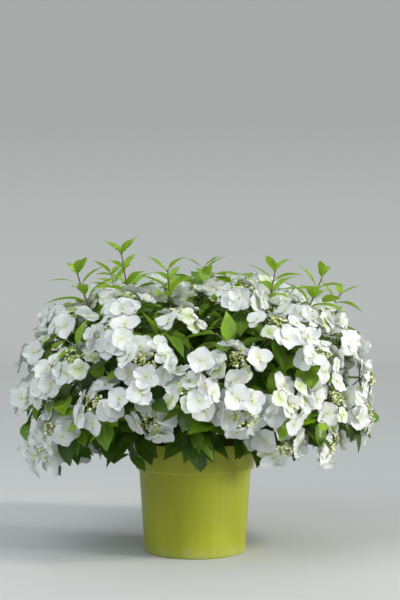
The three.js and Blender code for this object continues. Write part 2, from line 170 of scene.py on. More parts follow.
# %% [markdown]
# ## Masses, one to a bough
# The real shrub's boughs share out the space, each one filling the part that is nearest to it. The rule gives
# each mass an axis from the heart of the crown, and a mass owns the directions nearer to its axis than to any
# other. Fourteen such wedges in three tiers fill the dome.

# %% Masses
TIERS = [
    dict(name="skirt", count=8, first=0, pitch=-4, tip=122, elbow=(62, 258), root=(11, 205), radius=4.2),
    dict(name="shoulder", count=5, first=18, pitch=36, tip=99, elbow=(34, 264), root=(11, 213), radius=4),
    dict(name="top", count=1, first=90, pitch=90, tip=90, elbow=(4, 270), root=(1, 213), radius=3.8),
]
BOUGH_WANDER = 4.0  # how far an elbow may lie off its place

masses = []
for tier in TIERS:
    for i in range(tier["count"]):
        turn = math.radians(tier["first"] + 360 / tier["count"] * i)
        axis = pointing(turn, math.radians(tier["pitch"]))
        name = f"{tier['name']}_{i + 1}"
        masses.append(SimpleNamespace(name=name, tier=tier, turn=turn, axis=axis, heads=[], shoots=[]))
for mass in masses:
    mass.walls = unit(np.array([mass.axis - other.axis for other in masses if other is not mass]))


def mass_at(place):
    """The mass whose axis is nearest to the direction of a place from the heart."""
    return max(masses, key=lambda mass: float((place - HEART) @ mass.axis))


def tucked_in(mass, place, margin):
    """A place moved in from the sides of its wedge, six tenths of the way at each of four passes."""
    moved = place.copy()
    for _ in range(4):
        for wall in mass.walls:
            depth = float((moved - HEART) @ wall)
            if depth < margin:
                moved = moved + wall * (margin - depth) * 0.6
    return moved


print(len(masses), "masses")

# %% [markdown]
# ## Where the flower heads and young shoots stand
# Heads could be scattered at random, but then they bunch. The golden turn spreads points over a dome evenly,
# as a sunflower spreads its seeds, and a head is skipped where it would crowd another. Two heads that hang
# low, and the young shoots that stand above the flowers, are placed where the photo shows them.

# %% Heads and shoots in numbers
HEADS_TRIED = 300
HEAD_SPACING = 84.0
DOME_SHARE = 0.6  # of the heads tried are above the waist
FIRST_HEAD = 225  # turn of the head at the summit, in degrees
HEAD_RADIUS = 55.0
HEAD_INSET = 26.0  # from a head's middle to the sides of its mass's wedge
HEAD_DEPTH = 26.0  # how far inside the crown's surface a head may lie
HEAD_WANDER = 0.06  # radians round the plant that it may lie off its turn
HEAD_SWING = 0.25  # radians that a head may face to either side
# Degrees that a head faces up at the waist, how much more at the summit, less at the fringe, and either way.
HEAD_PITCH = dict(waist=12, dome=66, skirt=30, wander=14)
HANGING_HEADS = [(195, -0.88, 235), (309, -1.4, 290)]  # turn, lift, and the turn that it faces
GOLDEN_TURN = math.pi * (3 - math.sqrt(5))
SHOOTS = [  # turn and lift of its place on the crown, how far it rises above that, and how far out it leans
    (222, 0.96, 68, 4),
    (255, 0.95, 38, -8),
    (190, 0.9, 38, 10),
    (318, 0.94, 34, 8),
    (335, 0.85, 42, 16),
    (20, 0.72, 38, 30),
    (84, 0.95, 46, -6),
    (140, 0.9, 42, 14),
]
SHOOT_ROOT = 30.0  # depth under the crown's surface where a shoot begins
FOOT_INSET, TIP_INSET = 10, 16  # from a shoot's ends to the sides of its mass's wedge

# %% Place the heads and shoots
heads = []


def put_head(seed, on, lift, facing):
    """Tucks a head into its mass's wedge, and keeps it unless it would crowd another."""
    mass = mass_at(on)
    place = tucked_in(mass, on, HEAD_INSET)
    if any(np.linalg.norm(other.place - place) < HEAD_SPACING for other in heads):
        return
    across = unit(np.cross(ASKEW, facing))
    head = SimpleNamespace(seed=seed, place=place, facing=facing, across=across, lift=lift)
    heads.append(head)
    mass.heads.append(head)


for i, (degrees, lift, face) in enumerate(HANGING_HEADS):
    pitch = math.radians(HEAD_PITCH["waist"] + HEAD_PITCH["skirt"] * lift)
    facing = pointing(math.radians(face), pitch)
    put_head(HEADS_TRIED + i, crown_place(math.radians(degrees), lift, 0), lift, facing)
for k in range(HEADS_TRIED):
    throw = dice(SEEDS["heads"] + k)
    share = (k + 0.5) / HEADS_TRIED
    lift = 1 - share / DOME_SHARE if share < DOME_SHARE else (DOME_SHARE - share) / (1 - DOME_SHARE)
    turn = math.radians(FIRST_HEAD) + k * GOLDEN_TURN + throw(-HEAD_WANDER, HEAD_WANDER)
    on = crown_place(turn, lift, throw(0, HEAD_DEPTH))
    degrees = HEAD_PITCH["waist"] + HEAD_PITCH["dome" if lift > 0 else "skirt"] * lift
    pitch = math.radians(degrees + throw(-HEAD_PITCH["wander"], HEAD_PITCH["wander"]))
    put_head(k, on, lift, pointing(turn + throw(-HEAD_SWING, HEAD_SWING), pitch))

for i, (degrees, lift, rise, lean) in enumerate(SHOOTS):
    turn = math.radians(degrees)
    foot = crown_place(turn, lift, SHOOT_ROOT)
    tip = crown_place(turn, lift, 0) + UP * rise + pointing(turn) * lean
    mass = mass_at(foot)
    foot, tip = tucked_in(mass, foot, FOOT_INSET), tucked_in(mass, tip, TIP_INSET)
    mass.shoots.append(SimpleNamespace(seed=i, foot=foot, tip=tip))
print(len(heads), "flower heads and", len(SHOOTS), "shoots")

# %% [markdown]
# ## Growing the limbs
# Each bough rises from the stock, bends over at an elbow and ends where its mass begins. A stem carries on
# from there to a hub among the mass's heads, and forks off a twig to each head. All of these are quadratic
# Bezier curves of three points: they bend in one plane, as a loaded branch does, and cost only three points.

# %% Curves
def along(curve, share):
    """A quadratic Bezier's point: its three points weighted (1-t) squared, 2t(1-t) and t squared."""
    return (1 - share) ** 2 * curve[0] + 2 * share * (1 - share) * curve[1] + share**2 * curve[2]


def heading(curve, share):
    """The direction of a quadratic Bezier: its two legs weighted 1-t and t."""
    return unit((1 - share) * (curve[1] - curve[0]) + share * (curve[2] - curve[1]))


def cut_short(curve, share):
    """The first share of a quadratic Bezier is a Bezier too, with its middle point along the first leg."""
    return np.array([curve[0], curve[0] + (curve[1] - curve[0]) * share, along(curve, share)])


# %% Limbs
STEM_RADII = (3.1, 2.1)
TWIG_RADII = (1.7, 1.2)
SIDE_RADII = (1.2, 0.8)
STALK_RADII = (1.0, 0.8)
RAY_RADII = (0.75, 0.5)
PEDICEL_RADII = (0.35, 0.3)
HUB_REACH = 0.6  # of the way from a bough's tip to the middle of its mass's heads
FORKS = (0.5, 0.97)  # of a stem's length, between which its twigs fork off
TWIG_ARCH = 12.0  # how far a twig's middle lies forward of its ends
STALK_DEPTH = 15.0  # from the middle of a head down to where its rays spread out


def bough_of(mass, index):
    """Root on the stock, elbow a little off its place, tip on the mass's axis."""
    throw = dice(SEEDS["boughs"] + index)
    (root_out, root_up), (elbow_out, elbow_up) = mass.tier["root"], mass.tier["elbow"]
    aside = throw(-BOUGH_WANDER, BOUGH_WANDER)
    elbow = pointing(mass.turn) * elbow_out + pointing(mass.turn + math.pi / 2) * aside
    elbow[2] = elbow_up + throw(-BOUGH_WANDER, BOUGH_WANDER)
    tip = HEART + mass.axis * (mass.tier["tip"] + throw(-BOUGH_WANDER, BOUGH_WANDER))
    mass.heading = unit(tip - elbow)
    return np.array([pointing(mass.turn) * root_out + UP * root_up, elbow, tip])


def stem_of(mass):
    """From the bough's tip, straight on at first, to a hub part of the way to the middle of the heads."""
    start = mass.bough[2]
    ends = np.array([head.place for head in mass.heads] + [shoot.foot for shoot in mass.shoots])
    hub = start + (ends.mean(axis=0) - start) * HUB_REACH
    return np.array([start, start + mass.heading * np.linalg.norm(hub - start) / 2, hub])


def head_twig(mass, index):
    """From its fork on the stem, each a little further along than the last, to under its head."""
    head = mass.heads[index]
    share = (index + 0.5) / len(mass.heads)
    fork = along(mass.stem, FORKS[0] + (FORKS[1] - FORKS[0]) * share)
    end = head.place - head.facing * STALK_DEPTH
    return np.array([fork, (fork + end) / 2 + mass.heading * TWIG_ARCH, end])


for index, mass in enumerate(masses):
    mass.bough = bough_of(mass, index)
    mass.stem = stem_of(mass)
    mass.twigs = [head_twig(mass, i) for i in range(len(mass.heads))]
    for head, twig in zip(mass.heads, mass.twigs):
        head.hub = twig[2]
    hub = mass.stem[2]
    for shoot in mass.shoots:
        elbow = shoot.foot + (shoot.tip - shoot.foot) * 0.4 + mass.heading * TWIG_ARCH / 2
        shoot.root = np.array([hub, (hub + shoot.foot) / 2, shoot.foot])
        shoot.curve = np.array([shoot.foot, elbow, shoot.tip])
print(sum(len(mass.twigs) for mass in masses), "twigs to heads")

# %% [markdown]
# ## Turning numbers into meshes
# Blender can build meshes one vertex at a time, but a plant has hundreds of thousands. Here every shape is a
# grid of points held in one numpy array, its faces are worked out from the grid's own numbering, and both go
# into the mesh in single calls. Each finished piece sits at the origin, rides on the root body, wears the
# finish it is given, and hides the CAD nodes that it stands for.

# %% Faces and points
def grid_faces(rows, columns, closed=False):
    """Quads between neighbouring rows and columns; closed joins the last column to the first."""
    row = np.arange(rows - 1)[:, None] * columns
    column = np.arange(columns if closed else columns - 1)[None, :]
    a, b = row + column, row + (column + 1) % columns
    return np.stack([a, b, b + columns, a + columns], axis=-1).reshape(-1, 4)


def fan(middle, first, sides, flipped=False):
    """Triangles from a middle point to a ring of points numbered from the first on."""
    at, after = np.arange(sides) + first, (np.arange(sides) + 1) % sides + first
    return np.stack([np.full(sides, middle), *((at, after) if flipped else (after, at))], axis=-1)


def repeated(faces, copies, points_each):
    """The same faces for every copy, each copy's numbers moved on by the points before it."""
    shift = np.arange(copies)[:, None, None] * points_each
    return (faces[None] + shift).reshape(-1, faces.shape[1])


def placed(origins, ways, reaches):
    """Each origin plus three directions of its own, every one times a grid of distances along it."""
    points = origins[:, None, None]
    for way, reach in zip(ways, reaches):
        points = points + way[:, None, None] * reach[..., None]
    return points


# %% Meshes and pieces
def make_mesh(name, points, faces, uv=None):
    """Points (n, 3) in millimetres and arrays of triangles or quads, as one smooth mesh in metres."""
    mesh = bpy.data.meshes.new(name)
    corners = np.concatenate([part.ravel() for part in faces]).astype(np.int32)
    sizes = np.concatenate([np.full(len(part), part.shape[1]) for part in faces])
    starts = (np.cumsum(sizes) - sizes).astype(np.int32)
    mesh.vertices.add(len(points))
    mesh.vertices.foreach_set("co", (points * MM).astype(np.float32).ravel())
    mesh.loops.add(len(corners))
    mesh.loops.foreach_set("vertex_index", corners)
    mesh.polygons.add(len(sizes))
    mesh.polygons.foreach_set("loop_start", starts)
    mesh.update(calc_edges=True)
    mesh.shade_smooth()
    if uv is not None:
        layer = mesh.uv_layers.new(name="surface")
        layer.uv.foreach_set("vector", uv[corners].astype(np.float32).ravel())
    return mesh


def add_piece(name, mesh, material, nodes):
    """Puts a mesh in the scene as one piece of the plant, in place of the CAD nodes that it stands for."""
    piece = bpy.data.objects.new(name, mesh)
    bpy.context.scene.collection.objects.link(piece)
    mesh.materials.append(material)
    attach(piece, "root")
    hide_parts(*nodes)
    print(f"{name}: {len(mesh.polygons)} faces")


BOUGH_NODES = [f"bough_{mass.name}" for mass in masses]
FOLIAGE_NODES = [f"foliage_{mass.name}" for mass in masses]
print("to stand for", len(BOUGH_NODES), "bough nodes and", len(FOLIAGE_NODES), "foliage nodes")

# %% [markdown]
# ## Materials from a few small nodes
# No pictures are used: each finish is a Principled surface whose colour, roughness and bump come from small
# node patterns. Writing out every link by hand is long and hides the idea, so one helper makes a node and
# plugs each value or socket into the input of that name. A leaf or petal also lets light through, and for
# that its surface is mixed with a little Translucent shader.

# %% Node helpers
def node(tree, kind, values=(), **settings):
    """Makes a node, sets its own settings, and sets or links each (input, value) pair. Returns the node."""
    made = tree.nodes.new(kind)
    for name, value in settings.items():
        setattr(made, name, value)
    for name, value in dict(values).items():
        if isinstance(value, bpy.types.NodeSocket):
            tree.links.new(value, made.inputs[name])
        else:
            made.inputs[name].default_value = value
    return made


def sums(tree, operation, first, second=0.0, third=0.0):
    """One Math node's result."""
    return node(tree, "ShaderNodeMath", {0: first, 1: second, 2: third}, operation=operation).outputs[0]


def eased(tree, value, low, high, to_low=0.0, to_high=1.0):
    """The value carried smoothly from low..high to to_low..to_high."""
    values = {"Value": value, 1: low, 2: high, 3: to_low, 4: to_high}
    return node(tree, "ShaderNodeMapRange", values, interpolation_type="SMOOTHSTEP").outputs[0]


def blended(tree, share, first, second):
    """Two colours mixed by a share."""
    made = node(tree, "ShaderNodeMix", {0: share, 6: first, 7: second}, data_type="RGBA")
    return made.outputs[2]


# %% Patterns and finishes
def speckle(tree, scale, detail=2.0, vector=None):
    """Noise of that many lumps a metre, on the piece's own Object coordinates unless told otherwise."""
    place = vector or node(tree, "ShaderNodeTexCoord").outputs["Object"]
    values = {"Vector": place, "Scale": scale, "Detail": detail}
    return node(tree, "ShaderNodeTexNoise", values).outputs["Fac"]


def streaked(tree, scale, detail, flatness):
    """Noise drawn out upwards into streaks, since a height counts for only that share of a width in it."""
    place = node(tree, "ShaderNodeTexCoord").outputs["Object"]
    squeezed = node(tree, "ShaderNodeMapping", {"Vector": place, "Scale": (1, 1, flatness)}).outputs[0]
    return speckle(tree, scale, detail, squeezed)


def bumped(tree, height, distance, strength=1.0):
    """A bump of that many metres from a height between 0 and 1."""
    values = {"Height": height, "Distance": distance, "Strength": strength}
    return node(tree, "ShaderNodeBump", values).outputs["Normal"]


def finish_of(name, surface, through=None):
    """A material whose node tree surface() draws. through is (colour, share) of the light that passes."""
    material = bpy.data.materials.new(name)
    material.use_nodes = True
    tree = material.node_tree
    tree.nodes.clear()
    shader = node(tree, "ShaderNodeBsdfPrincipled", surface(tree)).outputs[0]
    if through:
        glow = node(tree, "ShaderNodeBsdfTranslucent", {"Color": (*through[0], 1)}).outputs[0]
        shader = node(tree, "ShaderNodeMixShader", {0: through[1], 1: shader, 2: glow}).outputs[0]
    node(tree, "ShaderNodeOutputMaterial", {"Surface": shader})
    return material


# %% [markdown]
# ## The pot
# The real pot is blow-moulded plastic: thin, satin, olive-lime, tapered, with a deep band that stands proud
# round the rim. A lathe is the natural tool for it. The outline below goes up the outside and down the
# inside, every corner is a small arc, because moulded plastic has no sharp edge and a rounded one catches
# the light, and the whole is turned round the axis. The sides are left plain.

# %% Lathe
def rounded(corners, arc_points=4):
    """Each corner (radius, height, rounding) of an outline, but for the first and last, becomes an arc: a
    quadratic curve between the two points that lie the rounding away from the corner along its sides."""
    corners = np.array(corners, float)
    places, cut = corners[:, :2], corners[:, 2:]
    before = unit(np.roll(places, 1, axis=0) - places) * cut + places
    after = unit(np.roll(places, -1, axis=0) - places) * cut + places
    t = np.linspace(0, 1, arc_points)[None, :, None]
    arcs = (1 - t) ** 2 * before[:, None] + 2 * t * (1 - t) * places[:, None] + t**2 * after[:, None]
    return np.concatenate([places[:1], arcs[1:-1].reshape(-1, 2), places[-1:]])


def subdivided(outline, step):
    """Long straight stretches of an outline cut into equal lengths of at most step."""
    parts = []
    for start, end in zip(outline[:-1], outline[1:]):
        count = max(1, math.ceil(float(np.linalg.norm(end - start)) / step))
        parts.append(start + (end - start) * np.linspace(0, 1, count, endpoint=False)[:, None])
    return np.concatenate([*parts, outline[-1:]])


def lathe(outline, sides, wobble=None):
    """Outline points turned round the axis: x = r cos, y = r sin. The first and last lie on the axis, and
    become single points. wobble(turn, height) is added to the radius."""
    turn = np.linspace(0, 2 * np.pi, sides, endpoint=False)
    radius, height = outline[1:-1, 0][:, None], outline[1:-1, 1][:, None]
    radius = radius + (wobble(turn[None, :], height) if wobble else 0)
    ring = np.stack([radius * np.cos(turn), radius * np.sin(turn), height + 0 * turn], axis=-1)
    count = len(outline) - 2
    points = np.concatenate([ring.reshape(-1, 3), [[0, 0, outline[0, 1]]], [[0, 0, outline[-1, 1]]]])
    first, last = count * sides, count * sides + 1
    ends = [fan(first, 0, sides), fan(last, (count - 1) * sides, sides, flipped=True)]
    return points, [grid_faces(count, sides, closed=True), *ends]


# %% Pot shape
POT_HEIGHT = 205.0
RIM_RADIUS = 115.0
BAND_FOOT_RADIUS = 109.5
BAND_HEIGHT = 51.0
BODY_TOP_RADIUS = 104.0
BASE_RADIUS = 94.0
WALL = 2.4
POT_FLOOR = 3.0
POT_SIDES = 144


def pot_wobble(turn, height):
    """Thin plastic is never quite round: a slow two- and three-lobed wave that grows towards the rim."""
    share = height / POT_HEIGHT
    return share * (0.5 * np.cos(2 * turn + 0.7) + 0.3 * np.cos(3 * turn + 2.1))


shelf = POT_HEIGHT - BAND_HEIGHT
pot_outline = rounded([
    (0, 0, 0),
    (BASE_RADIUS, 0, 3),
    (BODY_TOP_RADIUS, shelf - 0.4, 1.2),
    (BAND_FOOT_RADIUS, shelf, 1.4),
    (BAND_FOOT_RADIUS + 0.5, shelf + 4, 1.5),
    (RIM_RADIUS, POT_HEIGHT, 1.1),
    (RIM_RADIUS - WALL, POT_HEIGHT, 1.1),
    (BAND_FOOT_RADIUS - WALL, shelf + WALL, 1),
    (BODY_TOP_RADIUS - WALL, shelf + WALL, 1),
    (BASE_RADIUS - WALL, POT_FLOOR, 2),
    (0, POT_FLOOR, 0),
])
pot_points, pot_faces = lathe(subdivided(pot_outline, step=6), POT_SIDES, pot_wobble)
print("pot:", len(pot_points), "points")

# %% [markdown]
# ## Satin plastic
# Moulded plastic is one colour through and through, yet never one flat colour to the eye. It has faint
# upright streaks from the mould, a fine grain that softens its shine and a little dust near the foot. Its rim
# and the foot of its band are given paler lines as a painted highlight, where their edges would catch the
# light. The streaks are noise drawn out upwards by a Mapping node, and the highlight lines are bands of
# height.

# %% Pot material
POT_COLOUR = (0.278, 0.302, 0.010, 1)
POT_PALE = (0.42, 0.43, 0.06, 1)
POT_DUST = (0.42, 0.40, 0.28, 1)
# The next colour is a painted highlight where the rim and the band's foot catch the light, at the heights
# below
POT_EDGE_HIGHLIGHT = (0.56, 0.58, 0.14, 1)
HIGHLIGHT_EDGES = [(shelf + 1.2, 0.24), (POT_HEIGHT - 0.6, 0.3)]  # height, and how much paler


def pot_surface(tree):
    """Paler streaks and clouds, dust near the foot, and pale lines of painted highlight at the rim and band
    foot.
    """
    place = node(tree, "ShaderNodeTexCoord").outputs["Object"]
    streaks = eased(tree, streaked(tree, 60, 3, 0.06), 0.35, 0.75)
    clouds = eased(tree, speckle(tree, 9, 3), 0.35, 0.7)
    grain = speckle(tree, 900, 2)
    height = node(tree, "ShaderNodeSeparateXYZ", {0: place}).outputs["Z"]
    foot = sums(tree, "MULTIPLY", eased(tree, height, 0.03, 0.0), eased(tree, speckle(tree, 45, 4), 0.3, 0.8))
    colour = blended(tree, sums(tree, "MULTIPLY", streaks, 0.22), POT_COLOUR, POT_PALE)
    colour = blended(tree, sums(tree, "MULTIPLY", clouds, 0.10), colour, POT_PALE)
    colour = blended(tree, sums(tree, "MULTIPLY", foot, 0.45), colour, POT_DUST)
    # a painted highlight: a pale line at each of these heights, where an edge catches the light
    for edge, share in HIGHLIGHT_EDGES:
        away = sums(tree, "ABSOLUTE", sums(tree, "SUBTRACT", height, edge * MM))
        uneven = eased(tree, clouds, 0, 1, share, share / 3)
        painted_highlight = sums(tree, "MULTIPLY", eased(tree, away, 0.0024, 0.0006), uneven)
        colour = blended(tree, painted_highlight, colour, POT_EDGE_HIGHLIGHT)
    return {
        "Base Color": colour,
        "Roughness": eased(tree, streaks, 0, 1, 0.36, 0.48),
        "Specular IOR Level": 0.3,
        "Normal": bumped(tree, sums(tree, "ADD", grain, sums(tree, "MULTIPLY", streaks, 0.6)), 0.00012),
    }


satin_plastic = finish_of("satin_plastic", pot_surface)
pot_mesh = make_mesh("moulded_pot", pot_points, pot_faces)
add_piece("moulded_pot", pot_mesh, satin_plastic, ["pot"])

# %% [markdown]
# ## Compost
# Peat-free compost is dark, damp and crumbly. A flat disc would look like a lid, so its top is a polar grid
# whose height is a sum of waves of several sizes, and a few hundred crumbs and bark chips lie on it.

# %% Waves and lumps
def waves(places, size, seed, count=7):
    """A sum of sines in several directions, each about that size across, between about -1 and 1."""
    rng = np.random.default_rng(seed)
    ways = unit(rng.normal(size=(count, 3))) * (2 * np.pi / size) * rng.uniform(0.6, 1.5, (count, 1))
    return np.sin(places @ ways.T + rng.uniform(0, 2 * np.pi, count)).mean(axis=-1) * 1.8


def lumps(middles, sizes, seed, sides=6):
    """Small closed lumps: a point below, two rings and a point above, each corner pushed in or out."""
    rng = np.random.default_rng(seed)
    count = len(middles)
    turn = np.arange(sides) * 2 * np.pi / sides
    ring = np.stack([np.cos(turn), np.sin(turn), 0 * turn], axis=-1)
    shape = np.concatenate([[[0, 0, -0.8]], ring * 0.9 - [0, 0, 0.4], ring + [0, 0, 0.3], [[0, 0, 0.75]]])
    rough = shape[None] * rng.uniform(0.75, 1.2, (count, len(shape), 1)) * sizes[:, None, :]
    spin = rng.uniform(0, 2 * np.pi, count)[:, None]
    x, y = rough[..., 0].copy(), rough[..., 1].copy()
    rough[..., 0] = x * np.cos(spin) - y * np.sin(spin)
    rough[..., 1] = x * np.sin(spin) + y * np.cos(spin)
    points = (rough + middles[:, None, :]).reshape(-1, 3)
    quads = grid_faces(2, sides, closed=True) + 1
    ends = [fan(0, 1, sides), fan(2 * sides + 1, 1 + sides, sides, flipped=True)]
    return points, [repeated(part, count, len(shape)) for part in (quads, *ends)]


def joined(parts):
    """Several (points, faces) as one, the faces of each moved on by the points before it."""
    points, faces, start = [], [], 0
    for part_points, part_faces in parts:
        points.append(part_points)
        faces += [face + start for face in part_faces]
        start += len(part_points)
    return np.concatenate(points), faces


# %% Compost shape
COMPOST_TOP = 190.0
COMPOST_FOOT = 170.0  # no deeper, since only its top shows
COMPOST_FALL = 3.0  # how much lower its edge is than its middle
COMPOST_TAPER = 3.0  # how much narrower its foot is than its top
FIT = 0.5  # space to the pot's wall,
FIT_HEIGHT = 30.0  # at this height above the foot of the band
FILL_RINGS = 46
FILL_SIDES = 120
CRUMBS = 520
CRUMB_RADII = (0.9, 3.6)

edge_radius = BAND_FOOT_RADIUS - WALL - FIT + (RIM_RADIUS - BAND_FOOT_RADIUS) / BAND_HEIGHT * FIT_HEIGHT
radii = np.linspace(edge_radius, 0, FILL_RINGS)
fill_outline = np.concatenate([
    [[0, COMPOST_FOOT], [edge_radius - COMPOST_TAPER, COMPOST_FOOT]],
    np.stack([radii, COMPOST_TOP - COMPOST_FALL * (radii / edge_radius) ** 2], axis=-1),
])
fill_points, fill_faces = lathe(fill_outline, FILL_SIDES)
raised = fill_points[:, 2] > COMPOST_FOOT
swells, ripples = waves(fill_points, size=34, seed=1), waves(fill_points, size=11, seed=2)
fill_points[:, 2] += raised * (1.6 * swells + 1.2 * ripples - 1.2)
rng = np.random.default_rng(3)
out = edge_radius * 0.97 * np.sqrt(rng.uniform(0.05, 1, CRUMBS))
turns = rng.uniform(0, 2 * np.pi, CRUMBS)
crumb_height = COMPOST_TOP - COMPOST_FALL * (out / edge_radius) ** 2
middles = np.stack([out * np.cos(turns), out * np.sin(turns), crumb_height], axis=-1)
sizes = rng.uniform(*CRUMB_RADII, (CRUMBS, 1))
flattened = rng.uniform([0.6, 0.6, 0.35], [1.4, 1.4, 0.8], (CRUMBS, 3))
compost = joined([(fill_points, fill_faces), lumps(middles, sizes * flattened, seed=4)])
print("compost:", len(compost[0]), "points")


# %% Compost material
def compost_surface(tree):
    """Crumbs from nearly black to brown, with duller patches where it has dried."""
    crumbs = speckle(tree, 220, 6)
    patches = eased(tree, speckle(tree, 40, 3), 0.35, 0.7)
    colour = blended(tree, eased(tree, crumbs, 0.35, 0.7), (0.010, 0.006, 0.004, 1), (0.050, 0.030, 0.018, 1))
    return {
        "Base Color": blended(tree, sums(tree, "MULTIPLY", patches, 0.4), colour, (0.03, 0.02, 0.012, 1)),
        "Roughness": eased(tree, patches, 0, 1, 0.75, 0.95),
        "Normal": bumped(tree, crumbs, 0.0012),
    }


damp_compost = finish_of("damp_compost", compost_surface)
add_piece("crumbly_compost", make_mesh("crumbly_compost", *compost), damp_compost, ["compost"])

# %% [markdown]
# ## Stock and boughs in bark
# Hydrangea wood is pale brown, with thin bark that splits lengthwise, a ring of scar at each old pair of
# leaves, and a knobbly foot where each year's boughs sprang. The same tube maker serves for boughs and twigs:
# a ring of corners is carried along each curve, and for bark the rings also swell at the scars and ripple
# along the grain. That relief is in the mesh, so that it shows at the edge of a limb too.

# %% Tube maker
def tubes(curves, radii, sides, steps, relief=None):
    """Rings round n quadratic curves: middle + radius times (cos of across + sin of other), where across is
    square to the curve's plane and other lies in it. Each end closes in a point. relief(share, turn, middles)
    multiplies the radius."""
    curves, radii = np.asarray(curves, float), np.asarray(radii, float)
    count = len(curves)
    t = np.linspace(0, 1, steps + 1)[None, :, None]
    middle = along(curves.transpose(1, 0, 2)[:, :, None, :], t)
    legs = curves[:, 1:] - curves[:, :-1]
    forward = unit((1 - t) * legs[:, :1] + t * legs[:, 1:])
    across = np.cross(legs[:, 0], curves[:, 2] - curves[:, 0])
    flat = np.linalg.norm(across, axis=1) < 1
    across[flat] = np.cross(curves[flat, 2] - curves[flat, 0], [0.3, 0.9, 0.2])
    across = unit(across)[:, None, :]
    other = np.cross(forward, across)
    turn = (np.arange(sides) * 2 * np.pi / sides)[None, None, :, None]
    radius = (radii[:, :1] + (radii[:, 1:] - radii[:, :1]) * t[..., 0])[..., None, None]
    if relief:
        radius = radius * relief(t[..., None], turn, middle[:, :, None, :])
    round_about = across[:, :, None] * np.cos(turn) + other[:, :, None] * np.sin(turn)
    rings = middle[:, :, None] + radius * round_about
    ends = np.stack([middle[:, 0] - forward[:, 0] * radii[:, :1] * 0.4,
                     middle[:, -1] + forward[:, -1] * radii[:, 1:] * 0.6], axis=1)
    points = np.concatenate([rings.reshape(count, -1, 3), ends], axis=1)
    first = (steps + 1) * sides
    quads = grid_faces(steps + 1, sides, closed=True)
    fans = [fan(first, 0, sides), fan(first + 1, steps * sides, sides, flipped=True)]
    return points.reshape(-1, 3), [repeated(part, count, points.shape[1]) for part in (quads, *fans)]


# %% Stock and boughs
STOCK_FOOT = COMPOST_TOP - 4.0  # sunk a little into the compost
STOCK_HEIGHT = 29.0  # above the compost
STOCK_FLARE = 31.0
STOCK_WAIST = 21.0
STOCK_LEAN = 3.0
BOUGH_LENGTH = 190.0  # near enough for each, to space its ridges and scars by
SCAR_STEP = 34.0  # from one ring of scar to the next


def bark_relief(share, turn, middles):
    """Ridges that wind slowly along the limb, a swelling at each scar, and a little roughness."""
    length = share * BOUGH_LENGTH
    ridges = 0.05 * np.sin(5 * turn + 0.02 * length) + 0.035 * np.sin(9 * turn - 0.05 * length + 1)
    scars = 0.16 * np.exp(-((length % SCAR_STEP - SCAR_STEP / 2) ** 2) / 5)
    return 1 + ridges + scars + 0.06 * waves(middles, size=9, seed=5)[..., None]


stock_outline = subdivided(np.array([
    (0, STOCK_FOOT),
    (STOCK_FLARE, STOCK_FOOT),
    (STOCK_FLARE * 0.99, COMPOST_TOP),
    (STOCK_FLARE * 0.82, COMPOST_TOP + 5),
    (STOCK_WAIST, COMPOST_TOP + STOCK_HEIGHT * 0.45),
    (STOCK_WAIST * 0.95, COMPOST_TOP + STOCK_HEIGHT * 0.8),
    (STOCK_WAIST * 0.66, COMPOST_TOP + STOCK_HEIGHT),
    (0, COMPOST_TOP + STOCK_HEIGHT + 1),
]), step=1.6)


def stock_wobble(turn, height):
    """Knobs where boughs spring, deeper at the foot, and fine upright ridges."""
    share = (height - STOCK_FOOT) / STOCK_HEIGHT
    knobs = 1.5 * np.cos(5 * turn + 0.4) + 1.1 * np.cos(8 * turn + 2 * share)
    return knobs * (1.3 - share) + 0.35 * np.cos(23 * turn + 3 * share) + 0.25 * np.cos(37 * turn - 2 * share)


stock_points, stock_faces = lathe(stock_outline, 96, stock_wobble)
stock_points[:, 0] += STOCK_LEAN * (stock_points[:, 2] - STOCK_FOOT) / STOCK_HEIGHT
bough_radii = [(mass.tier["radius"], STEM_RADII[0]) for mass in masses]
wood = joined([
    (stock_points, stock_faces),
    tubes([mass.bough for mass in masses], bough_radii, sides=16, steps=64, relief=bark_relief),
])
print("wood:", len(wood[0]), "points")


# %% Bark material
def bark_surface(tree):
    """Pale bark with dark lengthwise splits, and a few patches that are greener."""
    splits = streaked(tree, 420, 4, 0.2)
    patches = eased(tree, speckle(tree, 50, 3), 0.35, 0.7)
    colour = blended(tree, eased(tree, splits, 0.35, 0.65), (0.07, 0.04, 0.02, 1), (0.23, 0.14, 0.075, 1))
    return {
        "Base Color": blended(tree, sums(tree, "MULTIPLY", patches, 0.4), colour, (0.13, 0.10, 0.05, 1)),
        "Roughness": eased(tree, splits, 0.3, 0.7, 0.9, 0.7),
        "Normal": bumped(tree, splits, 0.0006),
    }


add_piece("bark", make_mesh("bark", *wood), finish_of("thin_bark", bark_surface),
          ["stock", *BOUGH_NODES])

# %% [markdown]
# ## Flower heads
# A lacecap head is an umbrella: rays spread from the top of the stalk, the outer ones each hold up one big
# showy floret of four broad sepals, and the inner ones branch again into dozens of tiny buds. The rule says
# how many florets a head has, how far out each sits and how it tilts. No rule puts a flower exactly where the
# photo has one, so five strays are placed one by one to close the band of flowers across the front. Florets
# are laid first, because they are what shows, and leaves will have to find room between them.

# %% Florets in numbers
FLORETS = (5.6, 7.6)
FLORET_SIZE = (0.86, 1.04)  # of the head's radius, to a floret's outer edge
FLORET_TILT = (-0.34, 0.12)
FLORET_RADIUS = 24.5
OVER_MIDDLE = 0.25  # the chance of one more over a head's middle,
NONE_BESIDE = 0.25  # and of none beside it on either side
YOUNG_SHARE = 0.15  # of the florets are young,
YOUNG_SIZE = 0.8  # and smaller by this
STRAY_FLORETS = {  # by head: how far aside, outwards and up from its middle one more floret stands
    113: [(34, 14, 4)],
    118: [(-2, 18, -50)],
    160: [(20, 4, 47), (25, 6, -36)],
    165: [(57, 12, 10)],
}


